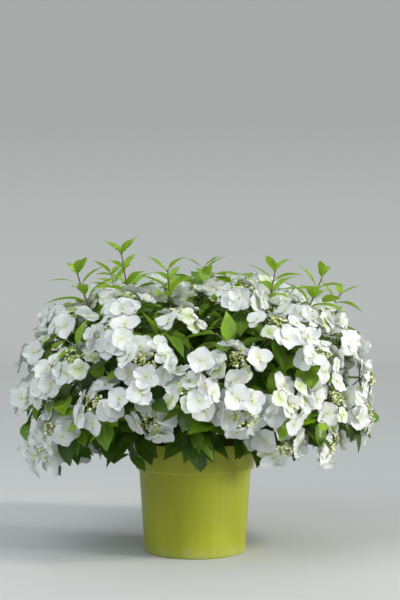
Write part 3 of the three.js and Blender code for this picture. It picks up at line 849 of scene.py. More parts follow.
# %% Lay the florets
def florets_of(head):
    """Floret i of n sits at the turn (i + a half) / n, its own radius inside the head's edge, and leans by
    its tilt. One more may sit over the middle, up to two hang beside the head and face away from it, and
    strays stand where they are put."""
    throw = dice(SEEDS["florets"] + head.seed)
    count = math.floor(throw(*FLORETS) + 0.5)
    reaches = [throw(*FLORET_SIZE) * HEAD_RADIUS for _ in range(count)]
    tilts = [throw(*FLORET_TILT) for _ in range(count)]
    other = np.cross(head.across, head.facing)
    rows = []

    def lay(middle, way, size):
        spin, age = throw(0, 2 * math.pi), throw(0, 1)
        rows.append((middle, unit(way), size * (YOUNG_SIZE if age < YOUNG_SHARE else 1), spin, age))

    for i in range(count):
        angle = (i + 0.5 + throw(-0.3, 0.3)) / count * 2 * math.pi
        ray = head.across * math.cos(angle) + other * math.sin(angle)
        size = FLORET_RADIUS * throw(0.8, 1.08)
        out = reaches[i] - size * 0.85 + throw(-4, 2)
        lean = throw(0.1, 0.75) + 0.35 * max(0, head.lift) - tilts[i]
        wander = np.array([throw(-0.3, 0.3) for _ in range(3)])
        middle = head.place + ray * out + head.facing * (tilts[i] * out + throw(-5, 6))
        lay(middle, head.facing + ray * lean + wander, size)
    if throw(0, 1) < OVER_MIDDLE:
        angle = throw(0, 2 * math.pi)
        ray = head.across * math.cos(angle) + other * math.sin(angle)
        lay(head.place + ray * throw(8, 14) + head.facing * throw(5, 10), head.facing + ray * throw(0, 0.6),
            FLORET_RADIUS * throw(0.8, 0.95))
    outward = unit(head.place * [1, 1, 0])
    beside = np.cross(UP, outward)
    for side in (-1, 1):
        if throw(0, 1) < NONE_BESIDE:
            continue
        ray = unit(beside * side * throw(0.3, 1) + outward * throw(0, 1) * head.facing[2])
        drop = UP * throw(6, 20) * head.facing[2] + outward * throw(4, 16) * (1 - head.facing[2])
        lay(head.place + ray * throw(34, 46) - drop, ray + outward * throw(-0.1, 0.5) + UP * throw(-0.1, 0.5),
            FLORET_RADIUS * throw(0.78, 1))
    for aside, out, up in STRAY_FLORETS.get(head.seed, ()):
        lay(head.place + beside * aside + outward * out + UP * up,
            outward + beside * throw(-0.3, 0.3) + UP * 0.35,
            FLORET_RADIUS * throw(0.9, 1.05))
    return rows


for head in heads:
    head.florets = florets_of(head)
floret_rows = [row for head in heads for row in head.florets]
floret_facts = [np.array(column) for column in zip(*floret_rows)]
floret_middle, floret_normal, floret_size, _, floret_age = floret_facts
print(len(floret_rows), "florets on", len(heads), "heads")

# %% [markdown]
# ## Petals
# What look like petals are four sepals, two over two, each almost round, a little cupped, with a softly
# toothed edge. One sepal is a small grid: a share runs outwards and another from side to side. All of them,
# some two thousand, are worked out together as one array and dealt into two pieces, white ones and younger
# ones that still have green in them.

# %% Petal shapes
SEPAL_ROWS = 6
SEPAL_COLUMNS = 6
PETAL_GLOW = 0.20  # of the light that meets a sepal passes through it


def sepals(middle, normal, size, spin, age, seed):
    """Half width = 0.61 of the length times the root of sin(pi times share^0.9), so nearly round, and rows
    crowd towards the tip as a sine does. Height = cup times the squares of both shares, less a crease along
    the middle and a fold back at the tip, plus a wave that differs each time."""
    rng = np.random.default_rng(seed)
    count = len(middle)
    side_start = unit(np.cross(normal, unit(rng.normal(size=(count, 3)))))
    side_other = np.cross(normal, side_start)
    out = np.sin(np.linspace(0, np.pi / 2, SEPAL_ROWS + 1))[:, None]
    aside = np.linspace(-1, 1, SEPAL_COLUMNS)[None, :]
    width = 0.61 * np.sqrt(np.sin(np.pi * np.clip(out * 0.945 + 0.035, 0, 1) ** 0.9))
    length = out * (1 - 0.06 * aside**2 * out)
    parts = []
    for quarter in range(4):
        angle = spin + quarter * np.pi / 2 + rng.uniform(-0.1, 0.1, count)
        ray = side_start * np.cos(angle)[:, None] + side_other * np.sin(angle)[:, None]
        side = np.cross(ray, normal)
        grow = size * rng.uniform(0.88, 1.08, count)
        cup = rng.uniform(-0.12, 0.34, count) - 0.14 * (age < YOUNG_SHARE)
        wave = rng.uniform(-0.09, 0.09, (count, 3))
        lift = rng.uniform(-0.14, 0.20, count) + (quarter % 2) * 0.06
        slim = rng.uniform(0.84, 1.05, count)
        grow, cup, lift, slim, tilt, ripple, twist = (
            value[:, None, None] for value in (grow, cup, lift, slim, *wave.T))
        z = (cup * (out**2 * 0.5 + aside**2 * out * 0.55) + lift * out + 0.06 * (quarter % 2)
             - 0.5 * np.clip(out - 0.75, 0, 1) ** 1.5 - 0.05 * np.exp(-12 * aside**2) * out * (1 - out) * 4
             + tilt * aside * out + ripple * np.cos(4 * aside) * out + twist * np.sin(5 * aside) * out**2)
        reaches = (length * grow, aside * width * grow * slim, z * grow)
        parts.append(placed(middle, (ray, side, normal), reaches))
    points = np.stack(parts, axis=1).reshape(-1, 3)
    faces = repeated(grid_faces(SEPAL_ROWS + 1, SEPAL_COLUMNS), count * 4, (SEPAL_ROWS + 1) * SEPAL_COLUMNS)
    uv = np.stack(np.broadcast_arrays((aside + 1) / 2, out), axis=-1).reshape(-1, 2)
    return points, [faces], np.tile(uv, (count * 4, 1))


# %% Petal materials and pieces
def petal_surface(white, heart, spread):
    """Green at the heart of a floret, fading out over a share of each sepal, with faint veins fanning out."""
    def surface(tree):
        uv = node(tree, "ShaderNodeUVMap", uv_map="surface").outputs[0]
        parts = node(tree, "ShaderNodeSeparateXYZ", {0: uv})
        out = parts.outputs["Y"]
        drawn_out = node(tree, "ShaderNodeMapping", {"Vector": uv, "Scale": (14, 1.2, 1)}).outputs[0]
        veins = speckle(tree, 1.0, 2, drawn_out)
        soft = eased(tree, speckle(tree, 70, 2), 0.3, 0.75)
        fading = sums(tree, "MULTIPLY", eased(tree, out, spread, 0.02), 0.8)
        colour = blended(tree, fading, white, heart)
        dimmer = tuple(0.9 * part for part in white[:3]) + (1,)
        colour = blended(tree, sums(tree, "MULTIPLY", soft, 0.35), colour, dimmer)
        return {
            "Base Color": colour,
            "Roughness": 0.55,
            "Specular IOR Level": 0.35,
            "Normal": bumped(tree, veins, 0.0007, 0.7),
        }

    return surface


white_petal = finish_of("white_petal", petal_surface((0.735, 0.745, 0.73, 1), (0.61, 0.65, 0.33, 1), 0.38),
                        ((0.80, 0.83, 0.78), PETAL_GLOW))
young_petal = finish_of("young_petal", petal_surface((0.735, 0.765, 0.665, 1), (0.46, 0.56, 0.10, 1), 0.72),
                        ((0.72, 0.80, 0.55), PETAL_GLOW))
for name, chosen, material, seed in (
    ("petals_white", floret_age >= YOUNG_SHARE, white_petal, 11),
    ("petals_young", floret_age < YOUNG_SHARE, young_petal, 12),
):
    facts = [fact[chosen] for fact in floret_facts]
    add_piece(name, make_mesh(name, *sepals(*facts, seed)), material, FOLIAGE_NODES)

# %% [markdown]
# ## Leaves
# Leaves stand in opposite pairs, each pair turned a quarter from the one below. The CAD model grows them on
# the stems, the twigs and the shoots, fewer and larger than life. Here they have their real size, and the
# same rule grows more pairs in between, some that hang under the skirt, and others on finer side twigs. A
# leaf is only kept where there is room: inside the crown, outside the pot, and not through a floret or
# another leaf, which the real ones push aside as they open.

# %% Leaves in numbers
LEAF_LENGTH = 73.0
LEAF_WIDTH = 38.0
PAIR_STEP = 1.2
LEAF_SWING = 0.35
LEAF_PAIRS = {  # at: where the CAD model's pairs stand too; more: where only this lesson's do
    "stem": dict(at=(0.12, 0.5, 0.86), more=(0.22, 0.32, 0.42, 0.6, 0.7, 0.78), forward=0.4, sag=0.9,
                 scale=0.98),
    "twig": dict(at=(0.42, 0.82), more=(0.22, 0.32, 0.52, 0.62, 0.72), forward=0.1, sag=0.3, scale=0.93),
    "shoot": dict(at=(0.38, 0.68, 0.95), more=(0.2, 1.0), forward=0.8, sag=-0.1, scale=1.08, slim=0.66,
                  arch=0.32, taper=0.4, free=True),
    "side": dict(at=(), more=(0.3, 0.6, 0.95), forward=0.5, sag=0.35, scale=0.85),
    "under": dict(at=(), more=(0.08, 0.2, 0.32, 0.44, 0.58, 0.72), forward=0.5, sag=1.5, scale=0.82,
                  reach=30.0),
}
INNER_REACH = 14.0  # how far most of the added leaves stand out past the heads' middles
SMALLER = (1, 0.84, 0.7)  # sizes tried, the largest that fits being kept
SIDE_LENGTH = (40, 78)
SIDE_SHORTEST = 20  # and as far from its end to the crown's surface
SIDE_SHARES = {"stem": (0.2, 0.35, 0.5, 0.65, 0.8, 0.92), "twig": (0.3, 0.55, 0.75)}  # where side twigs fork


# %% Pairs of leaves and side twigs
def turned_about(vector, axis, angle):
    """A vector square to an axis, turned about it: v cos + (axis x v) sin."""
    return vector * math.cos(angle) + np.cross(axis, vector) * math.sin(angle)


def leaf_pairs(curve, outward, throw, at, more, forward, sag, scale, reach=INNER_REACH, free=False, slim=1.0,
               arch=0.0, taper=0.0, young=0.0, twig=None):
    """Two leaves at each share of the curve, pointing to either side of it, forward along it and down. Along
    the curve they grow shorter by the taper, and the arch that adds to their own droop fades. Pairs that the
    CAD model doesn't have hang, face and vary in size more freely."""
    found = []
    for i, share in enumerate(at + more):
        tangent = heading(curve, share)
        level = np.cross(tangent, UP)
        if np.linalg.norm(level) < 0.2:
            level = np.cross(tangent, outward)
        level = turned_about(unit(level), tangent, i * math.pi / 2 + throw(-LEAF_SWING, LEAF_SWING))
        added = i >= len(at)
        hang = sag * throw(0.4, 1.4) if added else sag
        for side in (1, -1):
            lean = throw(-0.6, 0.6) if added else 0
            found.append(dict(
                foot=along(curve, share) + tangent * side * PAIR_STEP,
                way=unit(tangent * forward - UP * hang + level * side),
                face=UP * 0.75 + outward * 0.55 + level * lean,
                length=LEAF_LENGTH * scale * (1 - taper * share) * throw(0.75 if added else 0.86, 1.1),
                fold=throw(0.06, 0.20),
                droop=throw(0.02, 0.16) + arch * (1.2 - share),
                free=free,
                slim=slim,
                reach=reach if added else LEAF_REACH,
                tint=throw(0, 1) + young,
                twig=twig,
                share=share,
            ))
    return found


def side_twig(curve, share, outward, throw):
    """A finer twig: aside from its parent, forward along it and outwards, shortened to stay in the crown."""
    start, tangent = along(curve, share), heading(curve, share)
    level = unit(np.cross(tangent, ASKEW))
    aside = turned_about(level, tangent, throw(0, 2 * math.pi))
    way = unit(tangent * 0.5 + aside * 0.9 + outward * 0.4 - UP * 0.1)
    length = throw(*SIDE_LENGTH)
    while length > SIDE_SHORTEST and outside_crown(start + way * (length + SIDE_SHORTEST)):
        length *= 0.75
    if length <= SIDE_SHORTEST:
        return None
    end = start + way * length
    return np.array([start, (start + end) / 2 + UP * 5, end])


# %% Lay the leaves
leaf_rows, side_twigs = [], []
for index, mass in enumerate(masses):
    throw = dice(SEEDS["stems"] + index)
    leaf_rows += leaf_pairs(mass.stem, mass.axis, throw, **LEAF_PAIRS["stem"])
    if mass.tier["name"] == "skirt":
        leaf_rows += leaf_pairs(mass.stem, mass.axis, throw, **LEAF_PAIRS["under"])
    for shoot in mass.shoots:
        throw = dice(SEEDS["shoots"] + shoot.seed)
        leaf_rows += leaf_pairs(shoot.curve, UP, throw, **LEAF_PAIRS["shoot"], young=2)
    for head, twig in zip(mass.heads, mass.twigs):
        throw = dice(SEEDS["twigs"] + head.seed)
        leaf_rows += leaf_pairs(twig, head.facing, throw, **LEAF_PAIRS["twig"])
for index, mass in enumerate(masses):
    throw = dice(SEEDS["sides"] + index)
    parents = [(mass.stem, share, mass.axis) for share in SIDE_SHARES["stem"]]
    for head, twig in zip(mass.heads, mass.twigs):
        parents += [(twig, share, head.facing) for share in SIDE_SHARES["twig"]]
    for curve, share, outward in parents:
        side = side_twig(curve, share, outward, throw)
        if side is not None:
            leaf_rows += leaf_pairs(side, outward, throw, **LEAF_PAIRS["side"], twig=len(side_twigs))
            side_twigs.append(side)
print(len(leaf_rows), "leaves tried, on", len(side_twigs), "side twigs too")

# %% [markdown]
# ## Room for each leaf
# To test a leaf against everything laid before it, both are made simple: the leaf is the lines along its
# midrib and both edges, and each floret or leaf in its way is an ellipse lying flat. A line that starts on
# one side of the flat and ends on the other, inside the ellipse, cuts it. One array test does that for a leaf
# against all the rest at once. A side twig is then cut short at its last leaf, or left out if it has none.

# %% Tests for room
def frame_of(row):
    """A leaf's normal, squared to its way, and its side direction."""
    normal = unit(row["face"] - row["way"] * float(row["face"] @ row["way"]))
    return normal, np.cross(row["way"], normal)


LINE_SHARES = np.array([0.12, 0.32, 0.55, 0.78, 1.0])  # of a leaf's length
LINE_WIDTHS = np.array([0.63, 0.96, 0.96, 0.51, 0.0])  # of its half width there
NARROWER = 0.9  # so that two leaves may just touch
FLORET_FLAT = 0.86  # of a floret's radius that its flat covers
# A leaf's flat: its middle and its reach along are shares of the leaf's length, its reach aside of the width.
LEAF_FLAT = dict(middle=0.52, along=0.46, aside=0.42)
POT_CLEAR = 1.5  # between a leaf and the pot
TWIG_END = 0.04  # of a side twig's length runs on past its last leaves


def leaf_lines(row, length):
    """Starts and ends of the steps along midrib, left and right edge, (12, 3) each."""
    normal, side = frame_of(row)
    spine = row["foot"] + row["way"] * (LINE_SHARES * length)[:, None]
    spine = spine - normal * (row["droop"] * length * LINE_SHARES**2)[:, None]
    half = LEAF_WIDTH / LEAF_LENGTH * row["slim"] * length / 2 * NARROWER
    lines = [spine + side * (LINE_WIDTHS * half * sign)[:, None] for sign in (0, 1, -1)]
    starts = np.concatenate([line[:-1] for line in lines])
    ends = np.concatenate([line[1:] for line in lines])
    return starts, ends


def cuts(starts, ends, flats):
    """Whether any step crosses any flat: its ends lie on either side, and the crossing is in the ellipse."""
    middle, normal, long_way, short_way = flats
    first = np.einsum("snk,nk->sn", starts[:, None] - middle, normal)
    second = np.einsum("snk,nk->sn", ends[:, None] - middle, normal)
    share = first / np.where(np.abs(first - second) < 1e-9, 1e-9, first - second)
    meet = starts[:, None] + share[..., None] * (ends - starts)[:, None] - middle
    inside = np.einsum("snk,nk->sn", meet, long_way) ** 2 + np.einsum("snk,nk->sn", meet, short_way) ** 2 < 1
    return bool(np.any((first * second < 0) & inside))


def in_pot(places):
    """Whether any place lies within the pot's outline, or too near it."""
    low = places[:, 2] < POT_HEIGHT + 1
    radius = np.interp(places[:, 2], [0, shelf, shelf + 0.1, POT_HEIGHT],
                       [BASE_RADIUS, BODY_TOP_RADIUS, BAND_FOOT_RADIUS, RIM_RADIUS])
    return bool(np.any(low & (np.hypot(places[:, 0], places[:, 1]) < radius + POT_CLEAR)))


# %% Fit the leaves
across_start = unit(np.cross(floret_normal, [0.3, 0.5, 0.8]))
inner = floret_size[:, None] * FLORET_FLAT
flats = [floret_middle, floret_normal, across_start / inner, np.cross(floret_normal, across_start) / inner]
room = [np.zeros((len(floret_rows) + len(leaf_rows), 3)) for _ in range(4)]
for store, part in zip(room, flats):
    store[: len(part)] = part
filled = len(floret_rows)
kept = []
for row in leaf_rows:
    normal, side = frame_of(row)
    for shrink in SMALLER:
        length = row["length"] * shrink
        starts, ends = leaf_lines(row, length)
        if not row["free"] and np.any(outside_crown(ends, row["reach"])):
            continue
        if in_pot(ends) or in_pot(starts) or cuts(starts, ends, [store[:filled] for store in room]):
            continue
        kept.append({**row, "length": length})
        width = LEAF_WIDTH / LEAF_LENGTH * row["slim"] * length
        middle = row["foot"] + row["way"] * length * LEAF_FLAT["middle"]
        long_way, short_way = row["way"] / (length * LEAF_FLAT["along"]), side / (width * LEAF_FLAT["aside"])
        for store, part in zip(room, (middle, normal, long_way, short_way)):
            store[filled] = part
        filled += 1
        break
last_leaf = {}
for row in kept:
    if row["twig"] is not None:
        last_leaf[row["twig"]] = max(row["share"], last_leaf.get(row["twig"], 0))
side_twigs = [cut_short(side_twigs[twig], share + TWIG_END) for twig, share in last_leaf.items()]
print(len(kept), "leaves have room, and", len(side_twigs), "side twigs carry some")

# %% [markdown]
# ## Leaf blades
# A hydrangea leaf is oval with a drawn-out point, folded a little along its midrib, drooping at the tip, its
# edge cut into small teeth. One grid, twelve points long and five wide, serves for every leaf: its half
# width is a formula of the share along it. The teeth are in the outline, and the veins are drawn by the
# material from the grid's own shares, so they follow the blade however it bends. Four tints are dealt out by
# throw and by place: leaves deep in the crown and low down get darker tints as painted shade, leaves far out
# and high up brighter ones as painted light, and the young shoots' leaves a paler tint of their own.

# %% Leaf shapes
LEAF_ROWS = 12
LEAF_COLUMNS = 5
STALK_SHARE = 0.09  # of a leaf's length is its stalk
BLADE_START, BLADE_END = 0.012, 0.994  # shares that the grid covers, since the blade has no width at 0 and 1


def blades(rows, seed):
    """Half width = share^0.65 (1 - share)^0.85, scaled to 1 at its widest, drawn in towards the point, and
    notched at every other row. The blade folds up from its midrib and droops by the share squared."""
    rng = np.random.default_rng(seed)
    count = len(rows)
    foot, way = (np.array([row[key] for row in rows]) for key in ("foot", "way"))
    length, fold, droop, slim = (
        np.array([row[key] for row in rows])[:, None, None] for key in ("length", "fold", "droop", "slim"))
    frames = [frame_of(row) for row in rows]
    normal, side = (np.array([frame[i] for frame in frames]) for i in (0, 1))
    share = np.linspace(BLADE_START, BLADE_END, LEAF_ROWS)[:, None]
    aside = np.linspace(-1, 1, LEAF_COLUMNS)[None, :]
    shape = share**0.65 * (1 - share) ** 0.85
    shape = shape / shape.max() * (1 - 0.5 * np.clip((share - 0.6) / 0.4, 0, 1))
    teeth = 1 - 0.07 * (np.arange(LEAF_ROWS) % 2)[:, None] * (np.abs(aside) > 0.9)
    width = LEAF_WIDTH / LEAF_LENGTH * slim * length / 2
    out = (STALK_SHARE + (1 - STALK_SHARE) * share + 0.03 * np.abs(aside) * np.sin(np.pi * share)) * length
    y = aside * shape * teeth * width
    curl = rng.uniform(-0.05, 0.10, (count, 1, 1))
    twist = rng.uniform(-0.25, 0.25, (count, 1, 1))
    wave = rng.uniform(0, 2 * np.pi, (count, 1, 1))
    z = (fold * np.abs(aside) * 2 * width * shape - (droop + curl) * length * share**2
         + twist * share * y + 0.012 * length * np.sin(9 * share + wave) * np.abs(aside) * shape)
    points = placed(foot, (way, side, normal), (out, y, z))
    uv = np.stack(np.broadcast_arrays((aside + 1) / 2, share), axis=-1).reshape(-1, 2)
    faces = repeated(grid_faces(LEAF_ROWS, LEAF_COLUMNS), count, LEAF_ROWS * LEAF_COLUMNS)
    return points.reshape(-1, 3), [faces], np.tile(uv, (count, 1))


# %% Leaf material
def leaf_surface(blade, vein, roughness):
    """A midrib and arching side veins, paler and sunk, over a blade that is mottled a little."""
    def surface(tree):
        uv = node(tree, "ShaderNodeUVMap", uv_map="surface").outputs[0]
        parts = node(tree, "ShaderNodeSeparateXYZ", {0: uv})
        aside = sums(tree, "ABSOLUTE", sums(tree, "MULTIPLY_ADD", parts.outputs["X"], 2.0, -1.0))
        share = parts.outputs["Y"]
        midrib = eased(tree, aside, 0.10, 0.02)
        slant = sums(tree, "SUBTRACT", sums(tree, "MULTIPLY", share, 7.5), sums(tree, "MULTIPLY", aside, 1.9))
        side_veins = eased(tree, sums(tree, "PINGPONG", slant, 0.5), 0.09, 0.02)
        veins = sums(tree, "MAXIMUM", midrib, sums(tree, "MULTIPLY", side_veins, 0.6))
        mottle = eased(tree, speckle(tree, 55, 3), 0.3, 0.75)
        darker = tuple(0.62 * part for part in blade[:3]) + (1,)
        colour = blended(tree, mottle, darker, blade)
        return {
            "Base Color": blended(tree, sums(tree, "MULTIPLY", veins, 0.55), colour, vein),
            "Roughness": roughness,
            "Specular IOR Level": 0.4,
            "Normal": bumped(tree, sums(tree, "SUBTRACT", mottle, veins), 0.0006, 0.8),
        }

    return surface


# %% Leaves in four tints
# The outward and height shares are painted light on leaves far out and high up, and the hanging share is
# painted shade on low leaves
SHADE_SHARES = dict(throw=0.75, outward=0.25, height=0.125, hanging=0.4)
FULL_HANG = 120.0  # below the waist, where the last of these is at its full share
LEAF_GLOW = 0.25  # of the light that meets a blade passes through it


def shade_of(row):
    """Three quarters of the leaf's throw, plus up to a quarter for how far out in the crown its tip is and an
    eighth for how high, less up to four tenths for how far it hangs below the waist. The place parts paint
    light on leaves far out and high up, and shade on leaves hanging low."""
    tip = row["foot"] + row["way"] * row["length"]
    radius, above = math.hypot(tip[0], tip[1]), tip[2] - WAIST
    outward = math.hypot(radius / sided(REACH, math.atan2(tip[1], tip[0])), max(0, above) / RISE)
    facts = dict(outward=2 * outward - 1, height=above / RISE, hanging=-above / FULL_HANG)
    parts = {name: SHADE_SHARES[name] * min(max(fact, 0), 1) for name, fact in facts.items()}
    return SHADE_SHARES["throw"] * row["tint"] + (parts["outward"] + parts["height"]) - parts["hanging"]


# The deep tint is partly painted shade, and the fresh tint partly painted light, besides each leaf's own tone
LEAF_TINTS = {  # up to which shade, blade colour, vein colour, roughness, light through it, slot
    "leaves_deep_painted_shade": (0.36, (0.035, 0.088, 0.007, 1), (0.12, 0.20, 0.045, 1), 0.32, (0.16, 0.33, 0.02), "leaf"),
    "leaves_green": (0.64, (0.110, 0.228, 0.012, 1), (0.24, 0.37, 0.07, 1), 0.34, (0.30, 0.54, 0.02), "leaf"),
    "leaves_fresh_painted_light": (1.1, (0.245, 0.445, 0.017, 1), (0.40, 0.56, 0.10, 1), 0.36, (0.46, 0.72, 0.03), "leaf"),
    "young_leaves": (9.0, (0.27, 0.47, 0.03, 1), (0.47, 0.64, 0.14, 1), 0.38, (0.5, 0.8, 0.04), "young_leaf"),
}
lower = -1.0  # under every shade
for name, (upper, blade, vein, roughness, through, slot_name) in LEAF_TINTS.items():
    rows = [row for row in kept if lower <= shade_of(row) < upper]
    material = finish_of(name, leaf_surface(blade, vein, roughness), (through, LEAF_GLOW))
    add_piece(name, make_mesh(name, *blades(rows, seed=21)), material, FOLIAGE_NODES)
    lower = upper

# %% [markdown]
# ## Stems, rays and buds
# The stems are brown where they are old, and green to red-brown towards the flowers. Rays about a millimetre
# thick spread from each stalk to the backs of the florets, and others branch into a dome of tiny buds, some
# just opening. They are hardly a pixel wide in the picture, but without them the florets would float.

# %% Stems and twigs
stems = tubes([mass.stem for mass in masses], [STEM_RADII] * len(masses), sides=8, steps=14)
twig_curves = [twig for mass in masses for twig in mass.twigs]
twig_curves += [shoot.root for mass in masses for shoot in mass.shoots]
twigs = tubes(twig_curves, [TWIG_RADII] * len(twig_curves), sides=6, steps=8)
shoot_curves = [shoot.curve for mass in masses for shoot in mass.shoots]
shoots = tubes(shoot_curves, [TWIG_RADII] * len(shoot_curves), sides=6, steps=8)
sides = tubes(side_twigs, [SIDE_RADII] * len(side_twigs), sides=5, steps=5)
feet = np.array([row["foot"] for row in kept])
blade_starts = feet + np.array([row["way"] * row["length"] * (STALK_SHARE + 0.02) for row in kept])
leaf_stalks = tubes(np.stack([feet, (feet + blade_starts) / 2, blade_starts], axis=1),
                    [STALK_RADII] * len(kept), sides=4, steps=1)


def stem_surface(low, high):
    """Two colours in soft patches along the stem, with fine lengthwise grain."""
    def surface(tree):
        patches = eased(tree, speckle(tree, 26, 3), 0.35, 0.65)
        grain = speckle(tree, 500, 3)
        return {
            "Base Color": blended(tree, patches, low, high),
            "Roughness": 0.6,
            "Normal": bumped(tree, grain, 0.0003),
        }

    return surface


brown_stem = finish_of("brown_stem", stem_surface((0.16, 0.075, 0.040, 1), (0.16, 0.13, 0.040, 1)))
green_stem = finish_of("green_stem", stem_surface((0.12, 0.19, 0.04, 1), (0.20, 0.12, 0.05, 1)))
add_piece("stems", make_mesh("stems", *joined([stems, twigs, shoots])), brown_stem, FOLIAGE_NODES)
add_piece("fine_twigs", make_mesh("fine_twigs", *joined([sides, leaf_stalks])), green_stem,
          FOLIAGE_NODES)

# %% Rays and sprays
SPRAYS = 9  # of buds in a head
BUDS = 8  # in a spray


def head_rays(head):
    """Curves from the stalk's top to the back of each floret and to the foot of each spray of buds."""
    throw = dice(SEEDS["rays"] + head.seed)
    other = np.cross(head.across, head.facing)
    rays = []
    for middle, normal, *_ in head.florets:
        end = middle - normal * 0.8
        rays.append([head.hub, head.hub + (end - head.hub) * 0.55 - head.facing * 2 - normal * 3, end])
    sprays = []
    for i in range(SPRAYS):
        angle = (i + throw(-0.3, 0.3)) / SPRAYS * 2 * math.pi
        out = throw(3, 20)
        ray = head.across * math.cos(angle) + other * math.sin(angle)
        foot = head.hub + head.facing * throw(13, 19) + ray * out
        rays.append([head.hub, (head.hub + foot) / 2 + ray * 2, foot])
        sprays.append(foot)
    return rays, sprays


ray_curves, spray_feet, spray_ways = [], [], []
for head in heads:
    rays, sprays = head_rays(head)
    ray_curves += rays
    spray_feet += sprays
    spray_ways += [head.facing] * len(sprays)
print(len(ray_curves), "rays, to", len(floret_rows), "florets and", len(spray_feet), "sprays of buds")

# %% Buds
BUD_RADII = (1.7, 2.6)
OPEN_SHARE = 0.25  # of the buds are opening,
OPEN_SIZE = 1.35  # and larger by this
HEART_SIZE = 0.075  # of a floret's radius, for the knob in its middle

rng = np.random.default_rng(31)
spray_feet, spray_ways = (np.repeat(np.array(part), BUDS, axis=0) for part in (spray_feet, spray_ways))
bud_ways = unit(spray_ways * 1.2 + rng.normal(size=spray_feet.shape) * 0.75)
buds = spray_feet + bud_ways * rng.uniform(5, 9, (len(bud_ways), 1))
bud_sizes = np.repeat(rng.uniform(*BUD_RADII, (len(buds), 1)), 3, axis=1)
bud_stalks = np.stack([spray_feet, (spray_feet + buds) / 2, buds], axis=1)
pedicels = tubes(bud_stalks, [PEDICEL_RADII] * len(buds), sides=3, steps=1)
rays = tubes(ray_curves, [RAY_RADII] * len(ray_curves), sides=4, steps=4)
heart_sizes = np.repeat(floret_size[:, None] * HEART_SIZE, 3, axis=1)
hearts = lumps(floret_middle + floret_normal * 1.6, heart_sizes, seed=32, sides=5)
open_buds = rng.uniform(size=len(buds)) < OPEN_SHARE
print(len(buds), "buds,", int(open_buds.sum()), "of them opening")


# %% Bud materials and pieces
def bud_surface(colour, paler):
    """Small beads, mottled from bud to bud."""
    def surface(tree):
        patches = eased(tree, speckle(tree, 130, 1), 0.4, 0.6)
        return {"Base Color": blended(tree, patches, colour, paler), "Roughness": 0.55}

    return surface


green_bud = finish_of("green_bud", bud_surface((0.34, 0.42, 0.10, 1), (0.56, 0.60, 0.26, 1)))
cream_bud = finish_of("cream_bud", bud_surface((0.62, 0.63, 0.38, 1), (0.78, 0.77, 0.58, 1)))
add_piece("rays", make_mesh("rays", *joined([rays, pedicels])), green_stem, FOLIAGE_NODES)
closed = joined([lumps(buds[~open_buds], bud_sizes[~open_buds], seed=33, sides=5), hearts])
opening = lumps(buds[open_buds], bud_sizes[open_buds] * OPEN_SIZE, seed=34, sides=5)
add_piece("flower_buds", make_mesh("flower_buds", *closed), green_bud, FOLIAGE_NODES)
add_piece("opening_buds", make_mesh("opening_buds", *opening), cream_bud, FOLIAGE_NODES)

# %% [markdown]
# ## Floor, light and camera
# The plant stands on a plain pale floor that curves up well behind it. The photo's light is a soft sky with a
# high sun from the right and front, so there is a broad sky, a large panel for its brighter side and one
# soft-edged sun. A low panel on the right stands for light thrown back from below, and reaches the pot under
# the leaves. The camera stands level, 2.35 m from the pot's axis, and its lens is set for a picture of the
# photo's 400 by 600.

# %% Floor
FLOOR_HALF = 30.0  # metres, so wide that its edges hardly show from any side
WALL_DISTANCE = 6.5  # far enough that a camera can stand behind the plant
COVE_RADIUS = 2.0
WALL_TOP = 9.0
cove = np.linspace(0, math.pi / 2, 24)
profile = np.concatenate([
    [[-FLOOR_HALF, 0]],
    np.stack([WALL_DISTANCE + COVE_RADIUS * np.sin(cove), COVE_RADIUS * (1 - np.cos(cove))], axis=-1),
    [[WALL_DISTANCE + COVE_RADIUS, WALL_TOP]],
])
wide, row = np.meshgrid([-FLOOR_HALF, FLOOR_HALF], np.arange(len(profile)))
floor_points = np.stack([wide, profile[row, 0], profile[row, 1]], axis=-1).reshape(-1, 3)
floor = bpy.data.objects.new("floor", make_mesh("floor", floor_points / MM, [grid_faces(len(profile), 2)]))
bpy.context.scene.collection.objects.link(floor)
floor.data.materials.append(finish_of("pale_floor", lambda tree: {
    "Base Color": (0.52, 0.525, 0.51, 1),
    "Roughness": 0.9,
    "Specular IOR Level": 0.2,
}))
print("floor:", 2 * FLOOR_HALF, "m wide, with a wall", WALL_TOP, "m high")

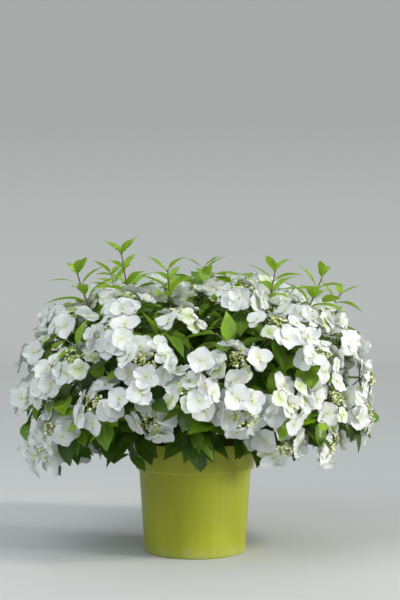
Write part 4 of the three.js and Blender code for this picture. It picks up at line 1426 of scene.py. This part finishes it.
# %% Light
sky = bpy.data.worlds.new("soft_sky")
sky.use_nodes = True
sky.node_tree.nodes["Background"].inputs["Color"].default_value = (0.84, 0.92, 1.0, 1)
sky.node_tree.nodes["Background"].inputs["Strength"].default_value = 0.70
bpy.context.scene.world = sky


def add_light(name, kind, place, target, energy, colour, **settings):
    """A lamp at a place, its beam turned towards a target."""
    data = bpy.data.lights.new(name, kind)
    data.energy = energy
    data.color = colour
    for setting, value in settings.items():
        setattr(data, setting, value)
    lamp = bpy.data.objects.new(name, data)
    bpy.context.scene.collection.objects.link(lamp)
    way = Vector(target) - Vector(place)
    lamp.location = place
    lamp.rotation_mode = "QUATERNION"
    lamp.rotation_quaternion = way.to_track_quat("-Z", "Y")


add_light("soft_sun", "SUN", (2.3, -1.7, 2.9), (0, 0, 0.3), 1.30, (1.0, 0.96, 0.88), angle=math.radians(8))
add_light("sky_panel", "AREA", (-1.2, -1.9, 2.4), (0, 0, 0.3), 38, (0.90, 0.95, 1.0), shape="DISK", size=2.0)
add_light("low_panel", "AREA", (3.0, -1.1, 0.75), (0, 0, 0.1), 2.6, (1.0, 0.98, 0.92), shape="DISK", size=0.7,
          spread=math.radians(30))

# %% Camera
MM_PER_PIXEL = 1.87
PHOTO_WIDTH, PHOTO_HEIGHT = 400, 600
POT_AXIS_PIXEL = 195.0  # column of the pot's axis
POT_FOOT_PIXEL = 549.5  # row of the pot's underside at its middle
CAMERA_DISTANCE = 2.35
camera_data = bpy.data.cameras.new("camera")
camera_data.sensor_width = 36.0
half_height = PHOTO_HEIGHT * MM_PER_PIXEL * MM / 2
camera_data.lens = camera_data.sensor_width / 2 * CAMERA_DISTANCE / half_height
camera = bpy.data.objects.new("camera", camera_data)
bpy.context.scene.collection.objects.link(camera)
camera.location = ((PHOTO_WIDTH / 2 - POT_AXIS_PIXEL) * MM_PER_PIXEL * MM, -CAMERA_DISTANCE,
                   (POT_FOOT_PIXEL - PHOTO_HEIGHT / 2) * MM_PER_PIXEL * MM)
camera.rotation_euler = (math.pi / 2, 0, 0)
bpy.context.scene.camera = camera
bpy.context.scene.view_settings.view_transform = "Standard"
print("lens:", round(camera_data.lens, 1), "mm")
